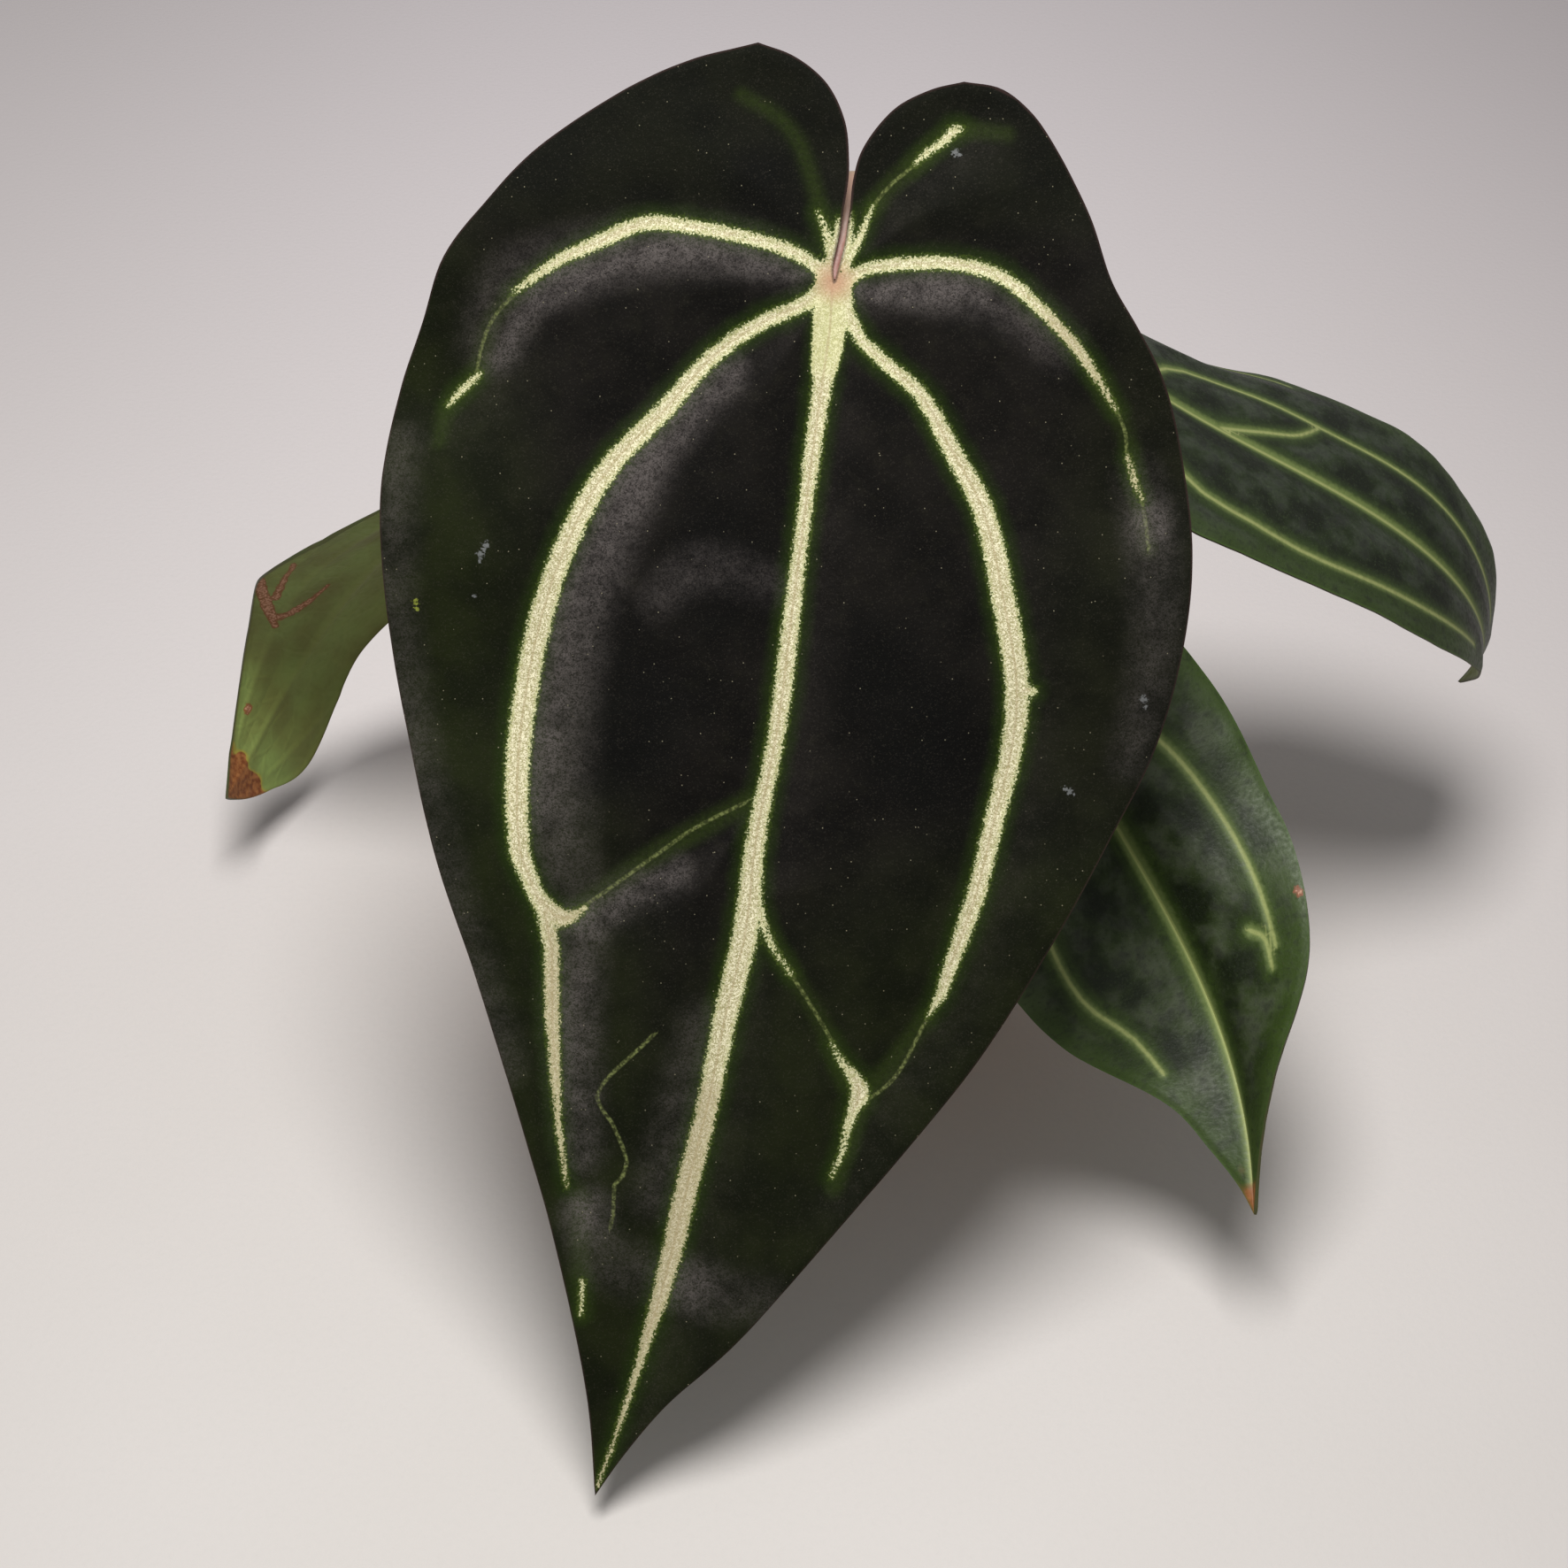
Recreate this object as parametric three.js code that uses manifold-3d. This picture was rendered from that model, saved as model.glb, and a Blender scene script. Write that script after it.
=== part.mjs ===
// Potted velvet-leaved anthurium: a clay pot of bark mix, a short upright stem and four leaves.
// Millimetres, +Z up. The origin is the middle of the pot's flat base, and the large leaf faces -Y.

import * as THREE from 'three';
import { mergeVertices } from 'three/addons/utils/BufferGeometryUtils.js';
import Module from 'manifold-3d';

// Pot, turned about +Z: a tapered clay body with a thicker band at the rim
const potHeight = 84;
const potRimRadius = 47.5;
const potBaseRadius = 32;
const potWall = 4.5;
const potFloor = 6;
const rimBandHeight = 19;
const rimBandProud = 3;
const potEdge = 1.5;
const potFootBevel = 1;
const potSegments = 48;
const drainHoleCount = 4;
const drainHoleRadius = 4;
const drainHoleCircle = 19;
const drainHoleSegments = 20;

// Bark mix: its level, its bed below that level, and the chunks that lie on the bed
const mixLevel = 73;
const mixBed = 70.5;
const mixRelief = 4;
const mixSettle = 4;
const chunkCount = 90;
const chunkSmallest = 3;
const chunkLargest = 7;
const chunkProud = 0.55;
const chunkLift = 1.5;
const mixSegments = 72;
const mixRings = 13;

// Stem: a stub that stands in a plain hole in the mix, ringed by old leaf scars
const stemRadius = 6.5;
const stemTip = 94;
const stemFoot = 55;
const stemNarrowing = 1.2;
const stemLevels = 22;
const scarSpacing = 4.2;
const scarDepth = 0.5;
const stemSegments = 24;

// Every piece keeps this gap to the piece that it touches
const gap = 0.3;

// Blades: a thin sheet, ribbed beneath and quilted between its veins. Columns crowd to the midrib.
const bladeThickness = 0.85;
const ribWidth = 2.2;
const sideRibShare = 0.6;
const thinnestRibShare = 0.15;
const crownReach = 7;
const columnSpread = 1.15;
const spineStep = 1.5;
const spineBehindShare = 0.35;
const slopeReach = 1.2;

// Petioles: the sheath at the foot, and near the blade the geniculum and the taper after it
const petioleSides = 10;
const petioleStep = 4.5;
const sheathLength = 7;
const geniculumFromEnd = 9;
const geniculumLength = 5;
const taperLength = 2.5;
const petioleEnd = [0, -1.5];
const endRounding = { radius: 0.6, reach: 0.5 };

// Corners that lie closer than this are one corner
const weldReach = 1e-3;

const degrees = Math.PI / 180;
const wasm = await Module();
wasm.setup();

// A repeatable draw between 0 and 1, from a seed that is stepped on each call.
function seededDraw(seed) {
  let state = seed;
  return () => {
    state = (state * 1664525 + 1013904223) % 4294967296;
    return state / 4294967296;
  };
}

// Points along a smooth curve through hand-chosen flat points, from one share of its length to another.
function alongCurve(points, count, from = 0, to = 1) {
  const knots = points.map(([u, v]) => new THREE.Vector3(u, v, 0));
  const curve = new THREE.CatmullRomCurve3(knots, false, 'centripetal');
  curve.arcLengthDivisions = 400;
  return Array.from({ length: count + 1 }, (_, i) => {
    const at = curve.getPointAt(from + ((to - from) * i) / count);
    return [at.x, at.y];
  });
}

// Flat shapes of the blades. u runs across and v runs up from the junction, where the petiole
// meets the blade: the lobes are above it and the tip is below. Each outer margin goes from the
// top of its lobe to the tip, and each inner margin from there down the sinus to the junction.
const frontShape = {
  length: 184.8,
  halfWidth: 60,
  shoulder: { left: 0.26, right: 0.19 },
  outer: {
    left: [
      [-11.5, 35.8], [-22.1, 33.1], [-32, 28.7], [-44.8, 20.4], [-52.5, 12.4], [-59.2, 4], [-62.9, -6.1],
      [-66.3, -15.3], [-68.8, -28.7], [-68.8, -41], [-67.1, -57.5], [-64, -72.3], [-59.9, -88.6],
      [-54.8, -104], [-46.8, -129.8], [-41.2, -150.6], [-37.6, -169.6], [-36.5, -184.8],
    ],
    right: [
      [19.5, 29.9], [25.1, 28.8], [29.9, 25], [33.9, 19], [38.6, 9.6], [41.9, -0.3], [45.7, -6.9],
      [49.2, -13.1], [52, -21.2], [54.5, -38], [52.8, -56.5], [48.8, -71.3], [41.9, -84.5],
      [32.9, -100.4], [22.3, -117.4], [11.1, -131.3], [-2.7, -147.2], [-14.9, -160.9],
      [-25.7, -170.8], [-32.3, -178.8], [-36.5, -184.8],
    ],
  },
  inner: {
    left: [
      [-11.5, 35.8], [-6.1, 33.7], [-1.2, 29.7], [1.6, 23.9], [1.9, 18.4], [1.2, 11.7], [0.3, 5.7], [0, 0],
    ],
    right: [
      [19.5, 29.9], [14.5, 28.7], [8.9, 25.7], [4.6, 19.6], [3.1, 14.4], [2.2, 9.7], [1, 4.4], [0, 0],
    ],
  },
  midrib: [
    [0, 0], [-4, -30.9], [-9.2, -70.9], [-13.3, -97.6], [-19.1, -124.2], [-25.6, -150.9], [-36.5, -184.8],
  ],
  sinusLine: [[3.6, 40], [3.2, 19], [1.7, 11], [0.65, 5], [0, 0]],
  veins: [
    [[-2, -2], [-19.1, -12], [-32.4, -26.1], [-44.8, -52.4], [-47.6, -68.3], [-47.2, -87.6],
      [-43.6, -94.8], [-42.6, -118], [-40.5, -136.9]],
    [[2, -4.3], [17.6, -25.3], [23.2, -37.6], [27.4, -61], [23.5, -85], [14.3, -110.8], [4.2, -122],
      [-0.7, -135.4]],
    [[-43.6, -94.8], [-30, -88.9], [-13.2, -78.4]],
    [[-11.2, -95.3], [-6, -104], [4.2, -122]],
    [[-1.7, 1.7], [-11.2, 6], [-28.5, 8.7], [-45.9, 0.4], [-54.4, -13.6], [-58.4, -17.9]],
    [[2.9, 0.4], [17.1, 2.7], [25.7, 0.3], [39.9, -14.8], [46.7, -32.4]],
    [[3.1, 6.4], [7.5, 13.5], [18.9, 23.1]],
    [[-1.1, 7.1], [-4, 17.3], [-11.7, 26.7]],
  ],
};

// The small blades share one heart shape, given as shares of the half width and of the length.
const lobeTop = 0.18;
const heartMargin = [
  [0.28, lobeTop], [0.44, 0.17], [0.58, 0.14], [0.7, 0.09], [0.84, -0.03], [0.93, -0.09], [0.99, -0.18],
  [1, -0.27], [0.97, -0.37], [0.9, -0.46], [0.66, -0.64], [0.35, -0.81], [0.2, -0.88], [0.06, -0.955],
  [0, -1],
];
const heartSinus = [[0.28, lobeTop], [0.17, 0.165], [0.08, 0.125], [0.04, 0.075], [0.025, 0.035], [0, 0]];

// Their veins run in the same shares. Below 0 a share counts in the left half.
const lobeVeins = [
  [[0.03, 0.04], [0.12, 0.1], [0.27, 0.13]],
  [[-0.03, 0.04], [-0.12, 0.1], [-0.27, 0.13]],
];
const rightLeafVeins = [
  [[0.03, -0.02], [0.34, -0.08], [0.45, -0.2], [0.42, -0.37], [0.4, -0.5], [0.33, -0.66],
    [0.14, -0.85]],
  [[0.02, -0.18], [0.15, -0.25], [0.26, -0.31], [0.42, -0.35]],
  [[0.04, 0.01], [0.4, 0.05], [0.72, -0.02], [0.84, -0.16], [0.84, -0.3]],
  [[-0.03, -0.01], [-0.42, -0.06], [-0.73, -0.16], [-0.72, -0.28], [-0.68, -0.38], [-0.5, -0.56],
    [-0.25, -0.76]],
  ...lobeVeins,
];
const lowLeafVeins = [
  [[0.04, -0.01], [0.3, -0.1], [0.49, -0.22], [0.57, -0.36], [0.58, -0.5], [0.48, -0.58],
    [0.4, -0.7], [0.18, -0.86]],
  [[-0.04, -0.01], [-0.35, -0.1], [-0.55, -0.26], [-0.59, -0.42], [-0.52, -0.56], [-0.37, -0.65],
    [-0.15, -0.87]],
  ...lobeVeins,
];
const leftLeafVeins = [
  [[0.03, -0.02], [0.28, -0.12], [0.45, -0.26], [0.52, -0.42], [0.46, -0.58], [0.33, -0.72],
    [0.16, -0.86]],
  [[-0.03, -0.02], [-0.28, -0.12], [-0.45, -0.26], [-0.52, -0.42], [-0.46, -0.58], [-0.33, -0.72],
    [-0.16, -0.86]],
  [[0.04, 0.01], [0.3, 0.04], [0.58, 0], [0.76, -0.1], [0.84, -0.24], [0.8, -0.42]],
  [[-0.04, 0.01], [-0.3, 0.04], [-0.58, 0], [-0.76, -0.1], [-0.84, -0.24], [-0.8, -0.42]],
  ...lobeVeins,
];

// fullness widens or narrows a half at these shares of the way from the junction to the tip.
const fullnessAt = [0, 0.18, 0.34, 0.5, 0.66, 0.82];

function heartShape(length, half, fullness, veins) {
  const scaled = (points, across) => points.map(([x, y]) => [x * across, y * length]);
  const filled = (side, across) => scaled(heartMargin, across).map(([u, v]) => {
    const widths = [1, ...fullness[side], 1];
    const places = [-lobeTop, ...fullnessAt, 1];
    const share = -v / length;
    const i = Math.max(1, places.findIndex((place) => place >= share - 1e-9));
    const mix = (share - places[i - 1]) / (places[i] - places[i - 1]);
    return [u * (widths[i - 1] + (widths[i] - widths[i - 1]) * mix), v];
  });
  return {
    length,
    halfWidth: Math.max(half.left, half.right),
    shoulder: { left: 0.24, right: 0.24 },
    outer: { left: filled('left', -half.left), right: filled('right', half.right) },
    inner: { left: scaled(heartSinus, -half.left), right: scaled(heartSinus, half.right) },
    midrib: [[0, 0], [0, -length / 2], [0, -length]],
    sinusLine: [[0, length / 4], [0, 0]],
    veins: veins.map((vein) => vein.map(([x, y]) => [
      x * (x < 0 ? half.left : half.right), y * length,
    ])),
  };
}

// How each blade hangs. heading and dip point from the junction to the tip, and roll turns the
// upper face about that line. bend and sway curve the midrib down and sideways, from the junction
// to the tip, and twist turns it, all in radians per millimetre. fold tilts each half up from the
// midrib and curl rolls it up or down further out. route leads the petiole from the stem, and crook
// gives its last bends, each as lengths back from the junction, down from the face and sideways.
const leaves = {
  leaf_front: {
    shape: frontShape,
    rows: { sinus: 11, midrib: 32 },
    columns: 10,
    junction: [4, -22, 150],
    heading: -90, dip: -50, roll: 0,
    bend: [0.0003, 0.0003], sway: [0, 0], twist: 0,
    fold: { left: 3, right: 3 }, curl: { left: -0.0034, right: -0.0034 },
    wave: { height: 1.5, length: 47, phase: { left: 0.4, right: 2.1 } },
    crown: 1.5, rib: 1.3,
    petiole: { base: 3.1, middle: 2.1, geniculum: 2.4, end: 1.2 },
    crook: [[3, -2.8, 0.4], [7, -4.2, 1.3], [12, -6, 2.2], [16, -9, 2.9], [17.5, -14, 3.2], [15.5, -20, 3]],
    route: [[0, 2.5, 87], [0.8, 6.5, 101], [2.6, 7.5, 122]],
  },
  leaf_right: {
    shape: heartShape(109.6, { left: 27.6, right: 37.1 }, {
      left: [1.05, 1.11, 0.92, 0.92, 0.94, 0.9],
      right: [0.78, 0.94, 0.98, 0.93, 1.02, 1.14],
    }, rightLeafVeins),
    rows: { sinus: 6, midrib: 20 },
    columns: 6,
    junction: [55.9, 24.1, 106.4],
    heading: -21.2, dip: -30.4, roll: 12.7,
    bend: [-0.0106, 0.0369], sway: [0.0039, 0.0037], twist: -0.0052,
    fold: { left: 5, right: 7.6 }, curl: { left: -0.0155, right: -0.0172 },
    wave: { height: 0.7, length: 31, phase: { left: 0, right: 1.4 } },
    crown: 1, rib: 0.9,
    petiole: { base: 2.6, middle: 1.6, geniculum: 1.9, end: 1.1 },
    crook: [[3, -1.9], [8, -4.5]],
    route: [[2, 1.5, 84], [12, 8, 100], [27, 17, 113]],
  },
  leaf_low: {
    shape: heartShape(97.7, { left: 37.9, right: 27.9 }, {
      left: [0.97, 0.98, 0.97, 0.95, 0.99, 0.73],
      right: [1.03, 0.96, 0.9, 0.99, 1.11, 1.01],
    }, lowLeafVeins),
    rows: { sinus: 6, midrib: 20 },
    columns: 6,
    junction: [38.1, -35.1, 84.7],
    heading: -24.1, dip: -67.8, roll: -20.4,
    bend: [-0.0175, -0.0066], sway: [0.0004, -0.0093], twist: -0.0143,
    fold: { left: 31.4, right: 27.4 }, curl: { left: 0.0001, right: -0.0271 },
    wave: { height: 0.9, length: 29, phase: { left: 2.2, right: 0.6 } },
    crown: 1.1, rib: 0.9,
    petiole: { base: 2.6, middle: 1.6, geniculum: 1.9, end: 1.1 },
    crook: [[3, -1.9], [8, -4.5]],
    route: [[1.5, -2, 80], [9, -9, 95], [21, -20, 103]],
  },
  leaf_left: {
    shape: heartShape(115.9, { left: 41.9, right: 25.7 }, {
      left: [0.97, 0.92, 0.83, 0.63, 0.5, 1.1],
      right: [0.77, 0.62, 0.91, 1.05, 0.93, 0.9],
    }, leftLeafVeins),
    rows: { sinus: 6, midrib: 20 },
    columns: 6,
    junction: [-49.6, 30.8, 92.2],
    heading: 192.2, dip: -47.6, roll: -53.9,
    bend: [-0.0189, 0.0497], sway: [-0.0145, 0.0248], twist: -0.0051,
    fold: { left: 16.2, right: -11.8 }, curl: { left: -0.0034, right: 0.0017 },
    wave: { height: 0.7, length: 27, phase: { left: 1, right: 2.6 } },
    crown: 0.9, rib: 0.9,
    petiole: { base: 2.6, middle: 1.6, geniculum: 1.9, end: 1.1 },
    crook: [[3, -1.9], [9, -4.5]],
    route: [[-2.5, 1.5, 81], [-12, 8, 97], [-27, 18, 106.5]],
  },
};

// The midrib's line in space, with its directions: along to the tip, across, and up from the face.
function spineOf(leaf) {
  const { shape, bend, sway, twist } = leaf;
  const dip = leaf.dip * degrees;
  const heading = leaf.heading * degrees;
  const along = new THREE.Vector3(Math.cos(heading), Math.sin(heading), Math.tan(dip)).normalize();
  const flatAcross = new THREE.Vector3(0, 0, 1).cross(along).normalize();
  const flatUp = along.clone().cross(flatAcross);
  const roll = leaf.roll * degrees;
  const up = flatUp.multiplyScalar(Math.cos(roll)).addScaledVector(flatAcross, Math.sin(roll));
  const across = up.clone().cross(along);
  const start = { at: new THREE.Vector3(...leaf.junction), along, across, up };

  const walk = (reach, ds) => {
    const stations = [start];
    const count = Math.ceil(reach / Math.abs(ds));
    for (let i = 0; i < count; i += 1) {
      const last = stations[i];
      const share = Math.max((i + 0.5) * ds, 0) / shape.length;
      const down = bend[0] + (bend[1] - bend[0]) * share;
      const side = sway[0] + (sway[1] - sway[0]) * share;
      const nextAlong = last.along.clone()
        .addScaledVector(last.up, -down * ds)
        .addScaledVector(last.across, side * ds)
        .normalize();
      const nextUp = last.up.clone().addScaledVector(last.across, twist * ds);
      nextUp.addScaledVector(nextAlong, -nextUp.dot(nextAlong)).normalize();
      stations.push({
        at: last.at.clone().addScaledVector(last.along, ds / 2).addScaledVector(nextAlong, ds / 2),
        along: nextAlong,
        across: nextUp.clone().cross(nextAlong),
        up: nextUp,
      });
    }
    return stations;
  };
  const ahead = walk(shape.length + 2 * spineStep, spineStep);
  const behind = walk(spineBehindShare * shape.length, -spineStep);

  return (v) => {
    const stations = v > 0 ? behind : ahead;
    const place = Math.min(Math.abs(v) / spineStep, stations.length - 1.001);
    const low = Math.floor(place);
    const mix = (name) => stations[low][name].clone().lerp(stations[low + 1][name], place - low);
    return { at: mix('at'), along: mix('along'), across: mix('across'), up: mix('up') };
  };
}

// Distance from a flat point to a polyline.
function distanceTo(line, u, v) {
  let nearest = Infinity;
  for (let i = 0; i + 1 < line.length; i += 1) {
    const [ax, ay] = line[i];
    const [bx, by] = line[i + 1];
    const dx = bx - ax;
    const dy = by - ay;
    const share = Math.min(1, Math.max(0, ((u - ax) * dx + (v - ay) * dy) / (dx * dx + dy * dy)));
    nearest = Math.min(nearest, Math.hypot(ax + share * dx - u, ay + share * dy - v));
  }
  return nearest;
}

// The upper face as a function of the flat coordinates, with its normal and the rib depth beneath.
function faceOf(leaf) {
  const { shape, fold, curl, wave, crown } = leaf;
  const frameAt = spineOf(leaf);
  const centre = [...alongCurve(shape.sinusLine, 12), ...alongCurve(shape.midrib, 40).slice(1)];
  const veins = [alongCurve(shape.midrib, 24), ...shape.veins.map((vein) => alongCurve(vein, 14))];

  const centreAt = (v) => {
    let i = 0;
    while (i + 2 < centre.length && centre[i + 1][1] > v) i += 1;
    const [u0, v0] = centre[i];
    const [u1, v1] = centre[i + 1];
    return u0 + ((u1 - u0) * (v - v0)) / (v1 - v0);
  };
  const veinDistance = (u, v) => Math.min(...veins.map((vein) => distanceTo(vein, u, v)));

  const top = (u, v) => {
    const frame = frameAt(v);
    const offset = u - centreAt(v);
    const half = offset < 0 ? 'left' : 'right';
    const out = Math.abs(offset);
    const tilt = fold[half] * degrees;
    const angle = tilt + curl[half] * out;
    const reach = (Math.sin(angle) - Math.sin(tilt)) / curl[half];
    const rise = (Math.cos(tilt) - Math.cos(angle)) / curl[half];
    const edge = (out / shape.halfWidth) ** 2;
    const ripple = wave.height * edge * Math.sin((2 * Math.PI * v) / wave.length + wave.phase[half]);
    const quilt = crown * (1 - Math.exp(-((veinDistance(u, v) / crownReach) ** 2)));
    return frame.at
      .addScaledVector(frame.across, centreAt(v) + Math.sign(offset) * reach)
      .addScaledVector(frame.up, rise + ripple + quilt);
  };
  const normal = (u, v) => {
    const acrossFace = top(u + slopeReach, v).sub(top(u - slopeReach, v));
    const alongFace = top(u, v - slopeReach).sub(top(u, v + slopeReach));
    return alongFace.cross(acrossFace).normalize();
  };
  const depth = (u, v) => {
    const main = Math.exp(-((distanceTo(veins[0], u, v) / ribWidth) ** 2));
    const side = sideRibShare * Math.exp(-((veinDistance(u, v) / ribWidth) ** 2));
    const fade = Math.max(thinnestRibShare, 1 + v / shape.length);
    return bladeThickness + leaf.rib * Math.max(main, side) * Math.min(fade, 1);
  };
  return { frameAt, top, normal, depth };
}

// Triangles are gathered as loose corners and welded afterwards.
function weld(corners) {
  const places = corners.flatMap((p) => [p.x, p.y, p.z]);
  const geometry = new THREE.BufferGeometry();
  geometry.setAttribute('position', new THREE.Float32BufferAttribute(places, 3));
  return mergeVertices(geometry, weldReach);
}

// A blade: each half is a grid between its inner edge and its outer margin. The lower face copies
// the upper one a blade's thickness below, and a wall closes them along every margin.
function bladeGeometry(leaf) {
  const { shape, rows, columns } = leaf;
  const face = faceOf(leaf);
  const corners = [];
  const triangle = (a, b, c) => {
    const shortest = Math.min(a.distanceTo(b), b.distanceTo(c), c.distanceTo(a));
    if (shortest > weldReach) corners.push(a, b, c);
  };
  const quad = (a, b, c, d) => {
    triangle(a, b, c);
    triangle(a, c, d);
  };
  for (const half of ['left', 'right']) {
    const shoulder = shape.shoulder[half];
    const inner = [
      ...alongCurve(shape.inner[half], rows.sinus),
      ...alongCurve(shape.midrib, rows.midrib).slice(1),
    ];
    const outer = [
      ...alongCurve(shape.outer[half], rows.sinus, 0, shoulder),
      ...alongCurve(shape.outer[half], rows.midrib, shoulder, 1).slice(1),
    ];
    const grid = inner.map(([u0, v0], j) => {
      const [u1, v1] = outer[j];
      return Array.from({ length: columns + 1 }, (_, i) => {
        const share = (i / columns) ** columnSpread;
        const u = u0 + (u1 - u0) * share;
        const v = v0 + (v1 - v0) * share;
        const upper = face.top(u, v);
        const lower = upper.clone().addScaledVector(face.normal(u, v), -face.depth(u, v));
        return { upper, lower };
      });
    });
    const turn = half === 'right';
    const facing = (a, b, c, d) => (turn ? quad(a, b, c, d) : quad(d, c, b, a));
    for (let j = 0; j + 1 < grid.length; j += 1) {
      for (let i = 0; i < columns; i += 1) {
        const [p, q, r, s] = [grid[j][i], grid[j + 1][i], grid[j + 1][i + 1], grid[j][i + 1]];
        facing(p.upper, q.upper, r.upper, s.upper);
        facing(s.lower, r.lower, q.lower, p.lower);
      }
      const [outLow, outHigh] = [grid[j + 1][columns], grid[j][columns]];
      facing(outHigh.upper, outLow.upper, outLow.lower, outHigh.lower);
      if (j < rows.sinus) {
        const [inLow, inHigh] = [grid[j + 1][0], grid[j][0]];
        facing(inLow.upper, inHigh.upper, inHigh.lower, inLow.lower);
      }
    }
  }
  return weld(corners);
}

// A round tube of changing radius along a curve, closed by a rounded end at each side.
function taperedTube(points, radiusAt, sides, step) {
  const curve = new THREE.CatmullRomCurve3(points, false, 'centripetal');
  const count = Math.ceil(curve.getLength() / step);
  const frames = curve.computeFrenetFrames(count, false);
  const ring = (share, radius, shift) => {
    const i = Math.round(share * count);
    const middle = curve.getPointAt(share).addScaledVector(frames.tangents[i], shift);
    return Array.from({ length: sides }, (_, k) => {
      const angle = (2 * Math.PI * k) / sides;
      return middle.clone()
        .addScaledVector(frames.normals[i], radius * Math.cos(angle))
        .addScaledVector(frames.binormals[i], radius * Math.sin(angle));
    });
  };
  const rings = Array.from({ length: count + 1 }, (_, i) => ring(i / count, radiusAt(i / count), 0));
  const rounded = (share, way) => (
    ring(share, endRounding.radius * radiusAt(share), way * endRounding.reach * radiusAt(share))
  );
  const roundedStart = rounded(0, -1);
  const roundedEnd = rounded(1, 1);
  const all = [roundedStart, ...rings, roundedEnd];
  const corners = [];
  for (let j = 0; j + 1 < all.length; j += 1) {
    for (let k = 0; k < sides; k += 1) {
      const next = (k + 1) % sides;
      corners.push(all[j][k], all[j][next], all[j + 1][next]);
      corners.push(all[j][k], all[j + 1][next], all[j + 1][k]);
    }
  }
  for (let k = 1; k + 1 < sides; k += 1) {
    corners.push(roundedStart[0], roundedStart[k + 1], roundedStart[k]);
    corners.push(roundedEnd[0], roundedEnd[k], roundedEnd[k + 1]);
  }
  return weld(corners);
}

// The petiole rises from the stem, crooks over behind the sinus and swells into the geniculum.
function petioleGeometry(leaf) {
  const { frameAt } = faceOf(leaf);
  const start = frameAt(0);
  const behindSinus = ([back, below, side = 0]) => start.at.clone()
    .addScaledVector(start.along, -back)
    .addScaledVector(start.up, below)
    .addScaledVector(start.across, side);
  const points = [
    ...leaf.route.map((p) => new THREE.Vector3(...p)),
    ...leaf.crook.map(behindSinus).reverse(),
    behindSinus(petioleEnd),
  ];
  const total = new THREE.CatmullRomCurve3(points, false, 'centripetal').getLength();
  const { base, middle, geniculum, end } = leaf.petiole;
  const radiusAt = (share) => {
    const fromBase = share * total;
    const fromEnd = total - fromBase;
    const sheath = (base - middle) * Math.exp(-fromBase / sheathLength);
    const swollen = Math.exp(-(((fromEnd - geniculumFromEnd) / geniculumLength) ** 2));
    const swelling = (geniculum - middle) * swollen;
    const taper = (middle - end) * Math.exp(-fromEnd / taperLength);
    return middle + sheath + swelling - taper;
  };
  return taperedTube(points, radiusAt, petioleSides, petioleStep);
}

// A closed solid from rings of points about +Z, each ring given by a radius and height per angle.
function ringedGeometry(rings, segments) {
  const corners = [];
  const points = rings.map((ring) => Array.from({ length: segments }, (_, k) => {
    const angle = (2 * Math.PI * k) / segments;
    const [radius, z] = ring(angle);
    return new THREE.Vector3(radius * Math.cos(angle), radius * Math.sin(angle), z);
  }));
  for (let j = 0; j + 1 < points.length; j += 1) {
    for (let k = 0; k < segments; k += 1) {
      const next = (k + 1) % segments;
      const [a, b, c, d] = [points[j][k], points[j][next], points[j + 1][next], points[j + 1][k]];
      if (a.distanceTo(b) > weldReach) corners.push(a, b, c);
      if (c.distanceTo(d) > weldReach) corners.push(a, c, d);
    }
  }
  return weld(corners);
}

// The stem narrows upwards, and the scars of old leaves slant round it. A cut for it is grown by a gap.
function stemGeometry(grow) {
  const radiusAt = (angle, z) => {
    const slant = Math.sin((2 * Math.PI * z) / scarSpacing + angle);
    const narrowing = (stemNarrowing * (z - mixLevel)) / (stemTip - mixLevel);
    return stemRadius + scarDepth * slant - narrowing + grow;
  };
  const shoulder = stemTip - 2;
  const heights = Array.from({ length: stemLevels + 1 }, (_, i) => (
    mixLevel + 0.5 + ((shoulder - mixLevel - 0.5) * i) / stemLevels
  ));
  return ringedGeometry([
    () => [0, stemFoot - grow],
    () => [stemRadius + grow, stemFoot - grow],
    () => [stemRadius + grow, mixLevel - 1],
    ...heights.map((z) => (angle) => [radiusAt(angle, z), z]),
    () => [0.6 * stemRadius + grow, stemTip - 0.6 + grow],
    () => [0, stemTip + grow],
  ], stemSegments);
}

// The pot's profile, from the middle of its base round the outside, over the rim and down inside.
function potGeometry() {
  const bandFoot = potHeight - rimBandHeight;
  const bodyTop = potRimRadius - rimBandProud;
  const insideTop = potRimRadius - rimBandProud - potWall;
  const profile = [
    [0, 0],
    [potBaseRadius - potFootBevel, 0],
    [potBaseRadius, potFootBevel],
    [bodyTop - 0.6, bandFoot - 1],
    [bodyTop + 1, bandFoot],
    [potRimRadius - 0.8, bandFoot + 0.8],
    [potRimRadius, potHeight - potEdge],
    [potRimRadius - potEdge, potHeight],
    [insideTop + potEdge + 0.5, potHeight],
    [insideTop + 0.5, potHeight - potEdge],
    [mixRadiusAt(mixLevel) + gap, mixLevel],
    [mixRadiusAt(potFloor) + gap, potFloor],
    [0, potFloor],
  ];
  const pot = new THREE.LatheGeometry(profile.map(([r, z]) => new THREE.Vector2(r, z)), potSegments);
  return pot.rotateX(Math.PI / 2);
}

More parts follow.
